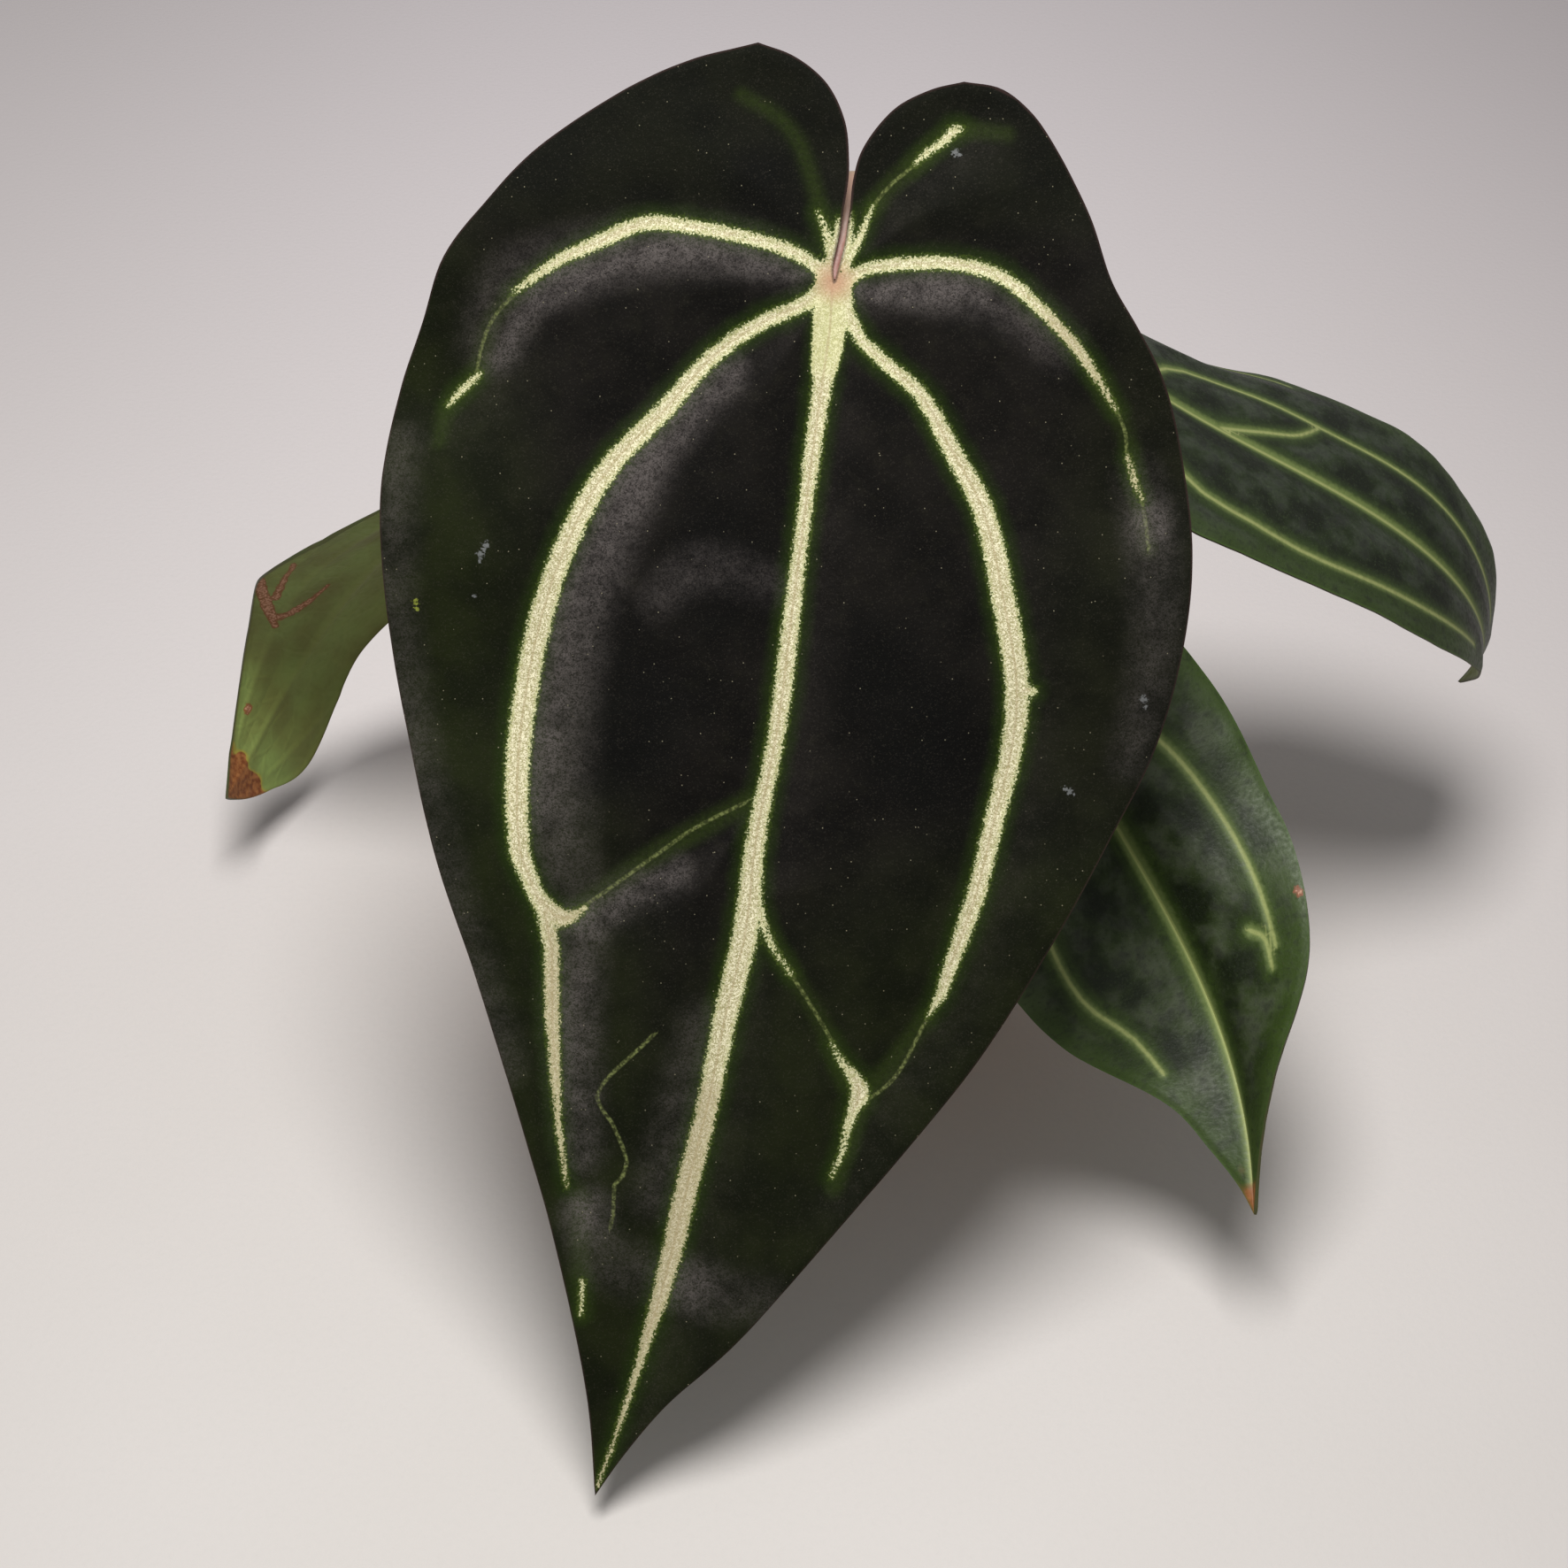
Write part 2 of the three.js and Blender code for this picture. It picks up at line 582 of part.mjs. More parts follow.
// The mix fills the pot to its level: its outside radius at a height.
function mixRadiusAt(z) {
  const top = potRimRadius - rimBandProud - potWall - gap;
  const bottom = potBaseRadius - potWall - gap;
  return bottom + ((top - bottom) * (z - potFloor)) / (potHeight - potFloor);
}

// Bark chunks lie at random over the mix, and its surface is the highest chunk at each place.
function mixGeometry() {
  const draw = seededDraw(7);
  const chunks = Array.from({ length: chunkCount }, () => {
    const reach = Math.sqrt(draw()) * mixRadiusAt(mixLevel);
    const place = draw() * 2 * Math.PI;
    const size = chunkSmallest + (chunkLargest - chunkSmallest) * draw();
    return {
      x: reach * Math.cos(place),
      y: reach * Math.sin(place),
      size,
      long: 1 + draw(),
      turn: draw() * Math.PI,
      lift: chunkLift * draw(),
    };
  });
  const outer = mixRadiusAt(mixBed);
  const hole = stemRadius + gap;
  const surface = (radius) => (angle) => {
    const x = radius * Math.cos(angle);
    const y = radius * Math.sin(angle);
    const heights = chunks.map((chunk) => {
      const dx = x - chunk.x;
      const dy = y - chunk.y;
      const a = (dx * Math.cos(chunk.turn) + dy * Math.sin(chunk.turn)) / chunk.long;
      const b = dy * Math.cos(chunk.turn) - dx * Math.sin(chunk.turn);
      const inside = 1 - (Math.hypot(a, b) / chunk.size) ** 3;
      return inside > 0 ? chunk.lift + chunkProud * chunk.size * inside : 0;
    });
    const relief = Math.min(mixRelief, Math.max(...heights));
    const settle = Math.min(1, (outer - radius) / mixSettle, (radius - hole) / mixSettle);
    return [radius, mixBed + relief * settle];
  };
  const rings = Array.from({ length: mixRings }, (_, i) => (
    surface(outer - ((outer - hole) * i) / (mixRings - 1))
  ));
  return ringedGeometry([
    () => [0, potFloor + gap],
    () => [mixRadiusAt(potFloor + gap), potFloor + gap],
    ...rings,
    () => [hole, stemFoot - gap],
    () => [0, stemFoot - gap],
  ], mixSegments);
}

// Booleans: a welded mesh becomes a solid, and a solid becomes a mesh again.
function solidOf(geometry) {
  const bare = geometry.clone();
  bare.deleteAttribute('normal');
  bare.deleteAttribute('uv');
  const merged = mergeVertices(bare, weldReach);
  return new wasm.Manifold(new wasm.Mesh({
    numProp: 3,
    vertProperties: new Float32Array(merged.attributes.position.array),
    triVerts: new Uint32Array(merged.index.array),
  }));
}

function geometryOf(solid) {
  const { vertProperties, triVerts } = solid.getMesh();
  const geometry = new THREE.BufferGeometry();
  geometry.setAttribute('position', new THREE.BufferAttribute(new Float32Array(vertProperties), 3));
  geometry.setIndex(new THREE.BufferAttribute(new Uint32Array(triVerts), 1));
  return geometry;
}

function drilledPot() {
  let pot = solidOf(potGeometry());
  for (let i = 0; i < drainHoleCount; i += 1) {
    const angle = (2 * Math.PI * (i + 0.5)) / drainHoleCount;
    const drill = new THREE.CylinderGeometry(
      drainHoleRadius, drainHoleRadius, 3 * potFloor, drainHoleSegments,
    );
    drill.rotateX(Math.PI / 2);
    drill.translate(drainHoleCircle * Math.cos(angle), drainHoleCircle * Math.sin(angle), potFloor / 2);
    pot = pot.subtract(solidOf(drill));
  }
  return geometryOf(pot);
}

// A leaf is its blade grown together with its petiole, which stops short of the stem. Any crumb
// that the cut leaves on the stem's far side is dropped.
function leafGeometry(leaf) {
  const whole = solidOf(bladeGeometry(leaf)).add(solidOf(petioleGeometry(leaf)));
  const bodies = whole.subtract(solidOf(stemGeometry(gap))).decompose();
  bodies.sort((a, b) => b.volume() - a.volume());
  return geometryOf(bodies[0]);
}

const finishes = {
  clay: { color: 0xb4654a, roughness: 0.85, metalness: 0 },
  bark: { color: 0x4a3526, roughness: 0.95, metalness: 0 },
  stem: { color: 0x6f6a3c, roughness: 0.7, metalness: 0 },
  velvet: { color: 0x1c2414, roughness: 0.75, metalness: 0 },
  olderLeaf: { color: 0x223818, roughness: 0.45, metalness: 0 },
};

const plant = new THREE.Group();

function addPiece(name, geometry, finish) {
  const mesh = new THREE.Mesh(geometry, new THREE.MeshStandardMaterial(finishes[finish]));
  mesh.name = name;
  plant.add(mesh);
}

addPiece('pot', drilledPot(), 'clay');
addPiece('potting_mix', mixGeometry(), 'bark');
addPiece('stem', stemGeometry(0), 'stem');
for (const [name, leaf] of Object.entries(leaves)) {
  addPiece(name, leafGeometry(leaf), name === 'leaf_front' ? 'velvet' : 'olderLeaf');
}

export default plant;
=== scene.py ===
# %% [markdown]
# # A potted velvet-leaved anthurium
#
# The plant is a young aroid with heart-shaped leaves. One big leaf faces the camera: its skin is velvety
# and near black, and broad cream bands run along its main veins. Three older, smaller leaves look out
# from behind it. The petioles rise from a short stem that stands in bark in a plain clay pot.
#
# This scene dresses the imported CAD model. Each CAD node is replaced by a finer piece that keeps its
# place and its outline, and every piece gets a finish made only of procedural nodes.
# All sizes are thought of in millimetres and turned into metres when a mesh is written.

import math

import bpy
import numpy as np
from mathutils import Euler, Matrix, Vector, noise


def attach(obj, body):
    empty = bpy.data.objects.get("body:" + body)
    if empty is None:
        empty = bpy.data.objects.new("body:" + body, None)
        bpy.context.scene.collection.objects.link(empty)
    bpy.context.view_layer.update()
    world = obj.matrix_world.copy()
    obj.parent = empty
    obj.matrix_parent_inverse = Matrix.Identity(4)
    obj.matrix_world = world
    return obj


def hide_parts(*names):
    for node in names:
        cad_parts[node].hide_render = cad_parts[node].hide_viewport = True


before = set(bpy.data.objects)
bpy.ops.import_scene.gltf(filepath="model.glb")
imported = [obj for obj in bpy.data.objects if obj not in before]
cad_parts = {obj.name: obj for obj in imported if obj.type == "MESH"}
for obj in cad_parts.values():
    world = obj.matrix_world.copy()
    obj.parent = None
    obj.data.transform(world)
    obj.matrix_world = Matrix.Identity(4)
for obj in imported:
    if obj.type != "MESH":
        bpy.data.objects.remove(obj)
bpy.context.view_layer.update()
bpy.ops.object.select_all(action="DESELECT")
scene = bpy.context.scene
MM = 0.001
print("CAD nodes:", sorted(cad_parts))

# %% [markdown]
# ## The bench
#
# A few small tools are used all through. New meshes start as a primitive, and a flat grid is the
# natural start for a leaf: moving its corners stretches it to the leaf's outline.

# %% Selecting, joining and smoothing


def activate(piece):
    """Makes one object the only selected one."""
    bpy.ops.object.select_all(action="DESELECT")
    piece.select_set(True)
    bpy.context.view_layer.objects.active = piece
    return piece


def named(piece, name):
    piece.name = piece.data.name = name
    return piece


def join(pieces, name):
    """Joins several meshes into one."""
    activate(pieces[0])
    for piece in pieces[1:]:
        piece.select_set(True)
    bpy.ops.object.join()
    return named(bpy.context.object, name)


def edit(piece, operator, **settings):
    """Runs one edit mode operator on all of a mesh."""
    activate(piece)
    bpy.ops.object.mode_set(mode="EDIT")
    bpy.ops.mesh.select_all(action="SELECT")
    operator(**settings)
    bpy.ops.object.mode_set(mode="OBJECT")
    return piece


def clean(piece):
    """Merges corners that lie on each other."""
    return edit(piece, bpy.ops.mesh.remove_doubles, threshold=0.005 * MM)


def outward(piece):
    """Turns every face outward."""
    return edit(piece, bpy.ops.mesh.normals_make_consistent, inside=False)


def smooth(piece, angle):
    """Shades a mesh smooth, apart from edges sharper than this angle."""
    activate(piece)
    bpy.ops.object.shade_smooth_by_angle(angle=math.radians(angle))
    return piece


def modify(piece, kind, **settings):
    """Adds a modifier, sets it and applies it."""
    activate(piece)
    bpy.ops.object.modifier_add(type=kind)
    modifier = piece.modifiers[-1]
    for key, value in settings.items():
        setattr(modifier, key, value)
    bpy.ops.object.modifier_apply(modifier=modifier.name)
    return piece


def corners_of(piece):
    """The corners of a mesh in millimetres, one row each."""
    places = np.empty(3 * len(piece.data.vertices), np.float32)
    piece.data.vertices.foreach_get("co", places)
    return places.reshape(-1, 3).astype(float) / MM


def move_corners(piece, places):
    piece.data.vertices.foreach_set("co", (np.asarray(places) * MM).astype(np.float32).ravel())
    piece.data.update()
    return piece


def paint(piece, **layers):
    """Stores numbers for each corner, which a material can read by their name."""
    for name, values in layers.items():
        layer = piece.data.attributes.new(name, "FLOAT", "POINT")
        layer.data.foreach_set("value", np.asarray(values, np.float32))


def grid(name, rows, columns):
    """A flat grid, and for each of its corners the row and the column that it stands in."""
    bpy.ops.mesh.primitive_grid_add(x_subdivisions=columns, y_subdivisions=rows, size=2)
    piece = named(bpy.context.object, name)
    places = corners_of(piece) * MM
    column = np.rint((places[:, 0] + 1) / 2 * columns).astype(int)
    row = np.rint((places[:, 1] + 1) / 2 * rows).astype(int)
    return piece, row, column


print("bench ready")

# %% [markdown]
# Smooth curves run through given points. The same curve form draws the leaf margins, the veins
# and the petioles, so they all flow the way grown things do, without corners.

# %% Curves and distances


def along_curve(points, count, start=0.0, end=1.0):
    """Evenly spaced points along a smooth curve through the given ones."""
    knots = np.asarray(points, float)
    ends = np.vstack([2 * knots[0] - knots[1], knots, 2 * knots[-1] - knots[-2]])
    spans = len(knots) - 1
    t = np.linspace(0, spans, 401)
    i = np.minimum(t.astype(int), spans - 1)
    w = (t - i)[:, None]
    p0, p1, p2, p3 = (ends[i + k] for k in range(4))

    def knot_gap(a, b):
        return np.maximum(((b - a) ** 2).sum(1), 1e-12)[:, None] ** 0.25

    d0, d1, d2 = knot_gap(p0, p1), knot_gap(p1, p2), knot_gap(p2, p3)
    t1 = d1 * ((p1 - p0) / d0 - (p2 - p0) / (d0 + d1) + (p2 - p1) / d1)
    t2 = d1 * ((p2 - p1) / d1 - (p3 - p1) / (d1 + d2) + (p3 - p2) / d2)
    curve = p1 + t1 * w + (3 * (p2 - p1) - 2 * t1 - t2) * w**2 + (2 * (p1 - p2) + t1 + t2) * w**3
    length = np.r_[0, np.cumsum(np.linalg.norm(np.diff(curve, axis=0), axis=1))]
    at = np.linspace(start, end, count + 1) * length[-1]
    return np.stack([np.interp(at, length, curve[:, k]) for k in range(curve.shape[1])], 1)


def nearest_line(lines, flat):
    """How far inside the nearest line's edge each flat point is, and its signed distance to that line.
    Each line is rows of across, along and full width."""
    inside = np.full(len(flat), -99.0)
    signed = np.full(len(flat), 99.0)
    rows = np.arange(len(flat))
    for line in lines:
        a, d = line[:-1, :2], np.diff(line[:, :2], axis=0)
        p = flat[:, None, :] - a
        share = np.clip((p * d).sum(-1) / np.maximum((d**2).sum(-1), 1e-9), 0, 1)
        gap = np.linalg.norm(p - share[..., None] * d, axis=-1)
        depth = (line[:-1, 2] + np.diff(line[:, 2]) * share) / 2 - gap
        k = depth.argmax(1)
        turn = d[k, 0] * p[rows, k, 1] - d[k, 1] * p[rows, k, 0]
        better = depth[rows, k] > inside
        inside = np.where(better, depth[rows, k], inside)
        signed = np.where(better, np.copysign(gap[rows, k], turn), signed)
    return inside, signed


def thin(line, width=0.0):
    """Flat points given a width, or with one that they already have."""
    line = np.asarray(line, float)
    return line if line.shape[1] > 2 else np.column_stack([line, np.full(len(line), width)])


def bumps(flat, size, seed=0.0):
    """Smooth unevenness between about -1 and 1, with bumps of this many millimetres."""
    return np.array([noise.noise(Vector((u / size, v / size, seed))) for u, v in flat])


def step(value, low, high):
    share = np.clip((value - low) / (high - low), 0, 1)
    return share * share * (3 - 2 * share)


print("curve tools ready")

# %% [markdown]
# ## Leaf shapes
#
# Every blade is drawn flat first. `u` runs across and `v` up from the junction, where the petiole
# meets the blade. The lobes are above it and the tip is below. The big leaf's left half is wider than
# its right one, and its midrib sweeps to the left: real leaves of this kind grow lopsided like that.

# %% The big leaf, flat
FRONT = dict(
    length=184.8,
    half_width=60,
    shoulder=(0.26, 0.19),
    outer=(
        [(-11.5, 35.8), (-22.1, 33.1), (-32, 28.7), (-44.8, 20.4), (-52.5, 12.4), (-59.2, 4),
         (-62.9, -6.1), (-66.3, -15.3), (-68.8, -28.7), (-68.8, -41), (-67.1, -57.5), (-64, -72.3),
         (-59.9, -88.6), (-54.8, -104), (-46.8, -129.8), (-41.2, -150.6), (-37.6, -169.6),
         (-36.5, -184.8)],
        [(19.5, 29.9), (25.1, 28.8), (29.9, 25), (33.9, 19), (38.6, 9.6), (41.9, -0.3), (45.7, -6.9),
         (49.2, -13.1), (52, -21.2), (54.5, -38), (52.8, -56.5), (48.8, -71.3), (41.9, -84.5),
         (32.9, -100.4), (22.3, -117.4), (11.1, -131.3), (-2.7, -147.2), (-14.9, -160.9),
         (-25.7, -170.8), (-32.3, -178.8), (-36.5, -184.8)],
    ),
    inner=(
        [(-11.5, 35.8), (-6.1, 33.7), (-1.2, 29.7), (1.6, 23.9), (2.2, 18.4), (2.1, 15.2), (1.3, 10.4),
         (0.6, 6.4), (-0.2, 2.4), (0, 0)],
        [(19.5, 29.9), (14.5, 28.7), (8.9, 25.7), (4.2, 19.8), (2.8, 15.2), (2.3, 10.4), (1.7, 6.4),
         (0.7, 2.4), (0, 0)],
    ),
    midrib=[(0, 0), (-4, -30.9), (-9.2, -70.9), (-13.3, -97.6), (-19.1, -124.2), (-25.6, -150.9),
            (-36.5, -184.8)],
    sinus_line=[(3.6, 40), (3.2, 19), (1.7, 11), (0.65, 5), (0, 0)],
    veins=[
        [(-2, -2), (-19.1, -12), (-32.4, -26.1), (-44.8, -52.4), (-47.6, -68.3), (-47.2, -87.6),
         (-43.6, -94.8), (-42.6, -118), (-40.5, -136.9)],
        [(2, -4.3), (17.6, -25.3), (23.2, -37.6), (27.4, -61), (23.5, -85), (14.3, -110.8),
         (4.2, -122), (-0.7, -135.4)],
        [(-43.6, -94.8), (-30, -88.9), (-13.2, -78.4)],
        [(-11.2, -95.3), (-6, -104), (4.2, -122)],
        [(-1.7, 1.7), (-11.2, 6), (-28.5, 8.7), (-45.9, 0.4), (-54.4, -13.6), (-58.4, -17.9)],
        [(2.9, 0.4), (17.1, 2.7), (25.7, 0.3), (39.9, -14.8), (46.7, -32.4)],
        [(3.1, 6.4), (7.5, 13.5), (18.9, 23.1)],
        [(-1.1, 7.1), (-4, 17.3), (-11.7, 26.7)],
    ],
)
print("big leaf:", FRONT["length"], "mm from the junction down to the tip")

# %% [markdown]
# The cream bands widen and narrow along the veins, so each point on them carries its own width.
# They end in fine green veins where the band runs out before the margin, and along these the blade
# glows dark green, because the skin is thinner there.

# %% The big leaf's bands and fine veins
BANDS = [
    # Midrib
    [(-0.3, -0.9, 4.5), (-0.3, -3.6, 4.7), (-1.2, -10.9, 3.1), (-3.1, -24.3, 2.5), (-4.8, -37.6, 2),
     (-6.5, -50.9, 2.5), (-8.1, -64.3, 2.7), (-9.2, -70.9, 2.4), (-11.9, -84.2, 2.8),
     (-13.3, -97.6, 3.7), (-16.5, -110.9, 3.5), (-19.1, -124.2, 3.1), (-22.5, -137.6, 3.3),
     (-25.6, -150.9, 2.7), (-27.7, -157.6, 1.9), (-29.7, -164.2, 1.1), (-33.6, -176.2, 0.4),
     (-36.1, -182.9, 0.3)],
    # Left inner lateral
    [(-1.1, -0.9, 1.7), (-2.4, -2.3, 2), (-12.3, -6.9, 2.1), (-19.1, -12, 2.3), (-25.7, -19.5, 2.7),
     (-32.4, -26.1, 2.9), (-36.4, -31.5, 3.1), (-41.7, -42.7, 3.2), (-44.8, -52.4, 3.5),
     (-46.9, -63.1, 3.6), (-48, -74.9, 3.5), (-47.2, -87.6, 2.9), (-45.3, -91.7, 2.3),
     (-43.1, -97.6, 2.3), (-42.7, -110.9, 2.1), (-42.3, -117.6, 1.6), (-41.7, -127.7, 0.8),
     (-40.5, -136.9, 0.3)],
    # Web where the left connector leaves
    [(-44.9, -92.5, 1.9), (-42, -95.7, 2.9), (-39.7, -95.7, 1.6), (-37.7, -94.4, 0.7)],
    # Right inner lateral, and the bump on it
    [(1.2, -1.6, 1.6), (3.6, -8.4, 1.7), (6.9, -11.7, 1.9), (13.1, -17.2, 2.1), (17.6, -25.3, 2.7),
     (22.3, -34, 3.1), (25.5, -47.9, 3.5), (27.6, -61.6, 3.5), (26.8, -70.8, 3.2), (24, -82, 2.8),
     (21.5, -92.2, 2.7), (17.3, -104, 2), (15.6, -109, 1.2), (14.3, -110.8, 0.5)],
    [(27.6, -61.3, 2.7), (30, -61.7, 1.2)],
    # Left upper lateral and the dash beyond its end
    [(-0.7, 1.1, 1.7), (-6.1, 4.3, 1.9), (-11.2, 6, 1.9), (-21.3, 8.1, 2), (-28.5, 8.7, 2.1),
     (-35.6, 5.9, 2), (-41.7, 3.2, 1.6), (-45.9, 0.4, 1.1), (-48.9, -1.6, 0.4)],
    [(-53.9, -13.5, 0.7), (-56.3, -15.6, 1.1), (-58.7, -18.1, 0.5)],
    # Right upper lateral and the dash beyond its end
    [(1.2, 0, 1.7), (4.4, 1.7, 1.7), (12, 2.7, 1.9), (20.1, 2.3, 1.9), (25.7, 0.3, 1.9),
     (31.5, -4.7, 1.7), (36.5, -10, 1.5), (39.9, -14.8, 1.1), (42.7, -19.2, 0.5)],
    [(44.5, -25.9, 0.4), (45.5, -29.3, 0.8), (46.8, -32.8, 0.4)],
    # Veins of the lobes
    [(1.6, 2.4, 1.4), (3.1, 5.2, 1.2), (4.4, 7.9, 0.8), (5.8, 11.3, 0.3)],
    [(11.9, 17.4, 0.3), (13.8, 19.2, 0.9), (16.1, 20.8, 1), (18.1, 22.6, 1.4), (19.4, 22.9, 0.4)],
    [(-0.4, 2.4, 1.6), (-1.1, 7.1, 1.1), (-2.5, 10.4, 0.4)],
    # Both edges of the sinus, close to the junction
    [(0.7, 9.5, 0.4), (0.2, 6, 1.3), (-0.3, 3, 1.8)],
    [(2.5, 10, 0.4), (1.9, 6, 1.5), (1.2, 3, 1.8)],
    # Right connector, the patch below it, and a dash near the left margin
    [(-12.1, -92.9, 1.9), (-11.2, -95.3, 1.3), (-10.4, -97.8, 0.9), (-8.8, -101.2, 0.7),
     (-6.5, -104.5, 0.4)],
    [(-0.4, -114.9, 0.4), (1.1, -117.6, 0.9), (2.7, -119.8, 1.6), (3.9, -122.4, 2.7),
     (2.9, -125.2, 1.6), (1.9, -128.2, 1.1), (1.3, -131.3, 0.7), (-0.4, -135.2, 0.4)],
    [(-38.1, -150.9, 0.5), (-38.4, -156, 0.4)],
]
FINE_VEINS = [
    [(-38.7, -94.8, 0.9), (-32.7, -90.6, 0.7), (-26.5, -86.1, 0.7), (-21.3, -82.5, 0.8),
     (-13.2, -78.4, 0.8)],
    [(-6.8, -104, 0.5), (-1.7, -112.2, 0.4), (1.1, -117.6, 0.4)],
    [(4.1, -124.2, 0.4), (8.9, -120.5, 0.4), (14.3, -110.8, 0.5)],
    [(-47.1, -0.5, 0.5), (-51.7, -5.2, 0.4), (-53.5, -9.2, 0.4), (-54.4, -13.6, 0.5)],
    [(42.4, -18.7, 0.6), (44.1, -22.3, 0.5), (44.5, -26.3, 0.5), (46.7, -32.4, 0.5), (47.6, -40.3, 0.4)],
    [(5.4, 10.8, 0.4), (8, 14, 0.3), (12.3, 17.7, 0.4)],
    [(-27.2, -113.4, 0.3), (-35.9, -122.9, 0.3), (-33.5, -127, 0.3), (-31.3, -133.8, 0.3),
     (-33.3, -136.4, 0.3), (-33.3, -140, 0.3), (-33.9, -142.8, 0.3)],
]
GLOW = [
    [(5.4, 10.5, 1.2), (8, 14, 1.6), (12.3, 17.7, 1.8), (18, 22.5, 1.6), (26, 22, 0.6)],
    [(-1.1, 7.1, 1), (-4, 17.3, 0.8), (-5.6, 21.3, 0.7), (-8.7, 24.9, 0.6), (-14, 28, 0.4)],
    [(-38.7, -94.8, 1.8), (-26.5, -86.1, 2.2), (-13.2, -78.4, 1.8)],
    [(-10.4, -97.8, 1.2), (-1.7, -112.2, 1), (3.9, -122.4, 2), (14.3, -110.8, 1.2)],
    [(3.9, -124, 1.6), (0, -137, 1)],
    [(-45.9, 0.4, 1.2), (-51.7, -5.2, 1.2), (-54.4, -13.6, 1.4), (-58.7, -18.1, 1.4), (-60, -24, 0.5)],
    [(39.9, -14.8, 1.2), (44.1, -22.3, 1), (47.6, -40.3, 0.6)],
    [(-38.5, -138, 1.6), (-38.2, -156, 1.2)],
]
print("bands:", len(BANDS), "fine veins:", len(FINE_VEINS), "glowing lines:", len(GLOW))

# %% [markdown]
# The velvet isn't even. Grey patches of painted sheen lie on the cells beside the veins, and painted
# shade darkens a few cells. They follow how the skin bulges, so each patch is a short stroke of its own
# width.

# %% Painted sheen, shade and marks on the big leaf
SHEEN_STROKES = [
    [(-52, -8, 6), (-49, -1, 7), (-38, 3, 7), (-28, 5, 6), (-15, 4.5, 5), (-5, 1, 3)],
    [(-17, -14, 3), (-27, -25, 5), (-37, -46, 7), (-41.5, -62, 8), (-42, -78, 8), (-39, -91, 4)],
    [(-38.5, -97, 5), (-39.5, -112, 5), (-38.5, -131, 3)],
    [(-36, -95, 2.5), (-31, -92, 2.5), (-25, -89, 2)],
    [(-20, -112, 3), (-23, -124, 4), (-27, -138, 4)],
    [(-37, -141, 4), (-35, -147, 5), (-29, -150, 4)],
    [(-25, -151, 3), (-18, -153, 4), (-10, -154, 3)],
    [(4, -2, 2), (14, -1, 4), (25, -3, 4), (34, -10, 3)],
    [(-27, -48, 1.5), (-20, -43, 3), (-9, -46, 1.5)],
    [(46, -30, 3), (48, -40, 4), (48.5, -56, 4), (45, -72, 2)],
    [(-66, -24, 2.5), (-67, -50, 3.5), (-60, -86, 3), (-50, -118, 2.5)],
]
SHADE = [
    [(7.6, -60, 12), (15.6, -73, 14)],
    [(-9.7, 13, 10), (-10, 14, 10)],
    [(-16.4, -41, 12), (-17, -45, 12)],
    [(-30, -60, 10), (-31, -70, 10)],
]
SPOTS = [(-63.4, -48.2, 0.55), (-63.3, -49.3, 0.45)]
SCUFFS = [
    (46.9, -62.9, 0.7), (47.2, -64.1, 0.5), (35, -76.4, 0.5), (35.7, -76.9, 0.6), (36.4, -77.3, 0.3),
    (-52.5, -39.8, 0.7), (-52.9, -40.5, 0.5), (-53.3, -41.2, 0.7), (-53.5, -42.2, 0.4),
    (-54.3, -47.4, 0.35), (18.2, 19.3, 0.7), (18.8, 18.9, 0.5),
]
DULL = [
    [(-39, -96, 4), (-42.7, -112, 4), (-41, -138, 4)],
    [(-19.1, -124, 4), (-26, -152, 5), (-36, -182, 5)],
    [(34, -7, 3), (47, -33, 4)],
]
print("strokes:", len(SHEEN_STROKES + SHADE + DULL), "small marks:", len(SPOTS + SCUFFS))

# %% [markdown]
# The three older leaves share one heart shape, given in shares of the half width and of the length.
# `fullness` widens or narrows a half at six places from the junction to the tip.

# %% The small leaves, flat
HEART = np.array([(0.28, 0.18), (0.44, 0.17), (0.58, 0.14), (0.7, 0.09), (0.84, -0.03), (0.93, -0.09),
                  (0.99, -0.18), (1, -0.27), (0.97, -0.37), (0.9, -0.46), (0.66, -0.64), (0.35, -0.81),
                  (0.2, -0.88), (0.06, -0.955), (0, -1)])
HEART_SINUS = np.array([(0.28, 0.18), (0.17, 0.165), (0.08, 0.125), (0.04, 0.075), (0.025, 0.035),
                        (0, 0)])


def both_halves(vein):
    """A vein of the right half, and the same one mirrored onto the left."""
    return [vein, [(-u, v) for u, v in vein]]


LOBE_VEINS = both_halves([(0.03, 0.04), (0.12, 0.1), (0.27, 0.13)])
RIGHT_VEINS = [
    [(0.03, -0.02), (0.34, -0.08), (0.45, -0.2), (0.42, -0.37), (0.4, -0.5), (0.33, -0.66),
     (0.14, -0.85)],
    [(0.02, -0.18), (0.15, -0.25), (0.26, -0.31), (0.42, -0.35)],
    [(0.04, 0.01), (0.4, 0.05), (0.72, -0.02), (0.84, -0.16), (0.84, -0.3)],
    [(-0.03, -0.01), (-0.42, -0.06), (-0.73, -0.16), (-0.72, -0.28), (-0.68, -0.38), (-0.5, -0.56),
     (-0.25, -0.76)],
    *LOBE_VEINS,
]
LOW_VEINS = [
    [(0.04, -0.01), (0.3, -0.1), (0.49, -0.22), (0.57, -0.36), (0.58, -0.5), (0.55, -0.6)],
    [(-0.04, -0.01), (-0.35, -0.1), (-0.55, -0.26), (-0.59, -0.42), (-0.52, -0.56), (-0.37, -0.65),
     (-0.29, -0.73)],
    [(0.44, -0.56), (0.5, -0.58), (0.49, -0.63)],
    *LOBE_VEINS,
]
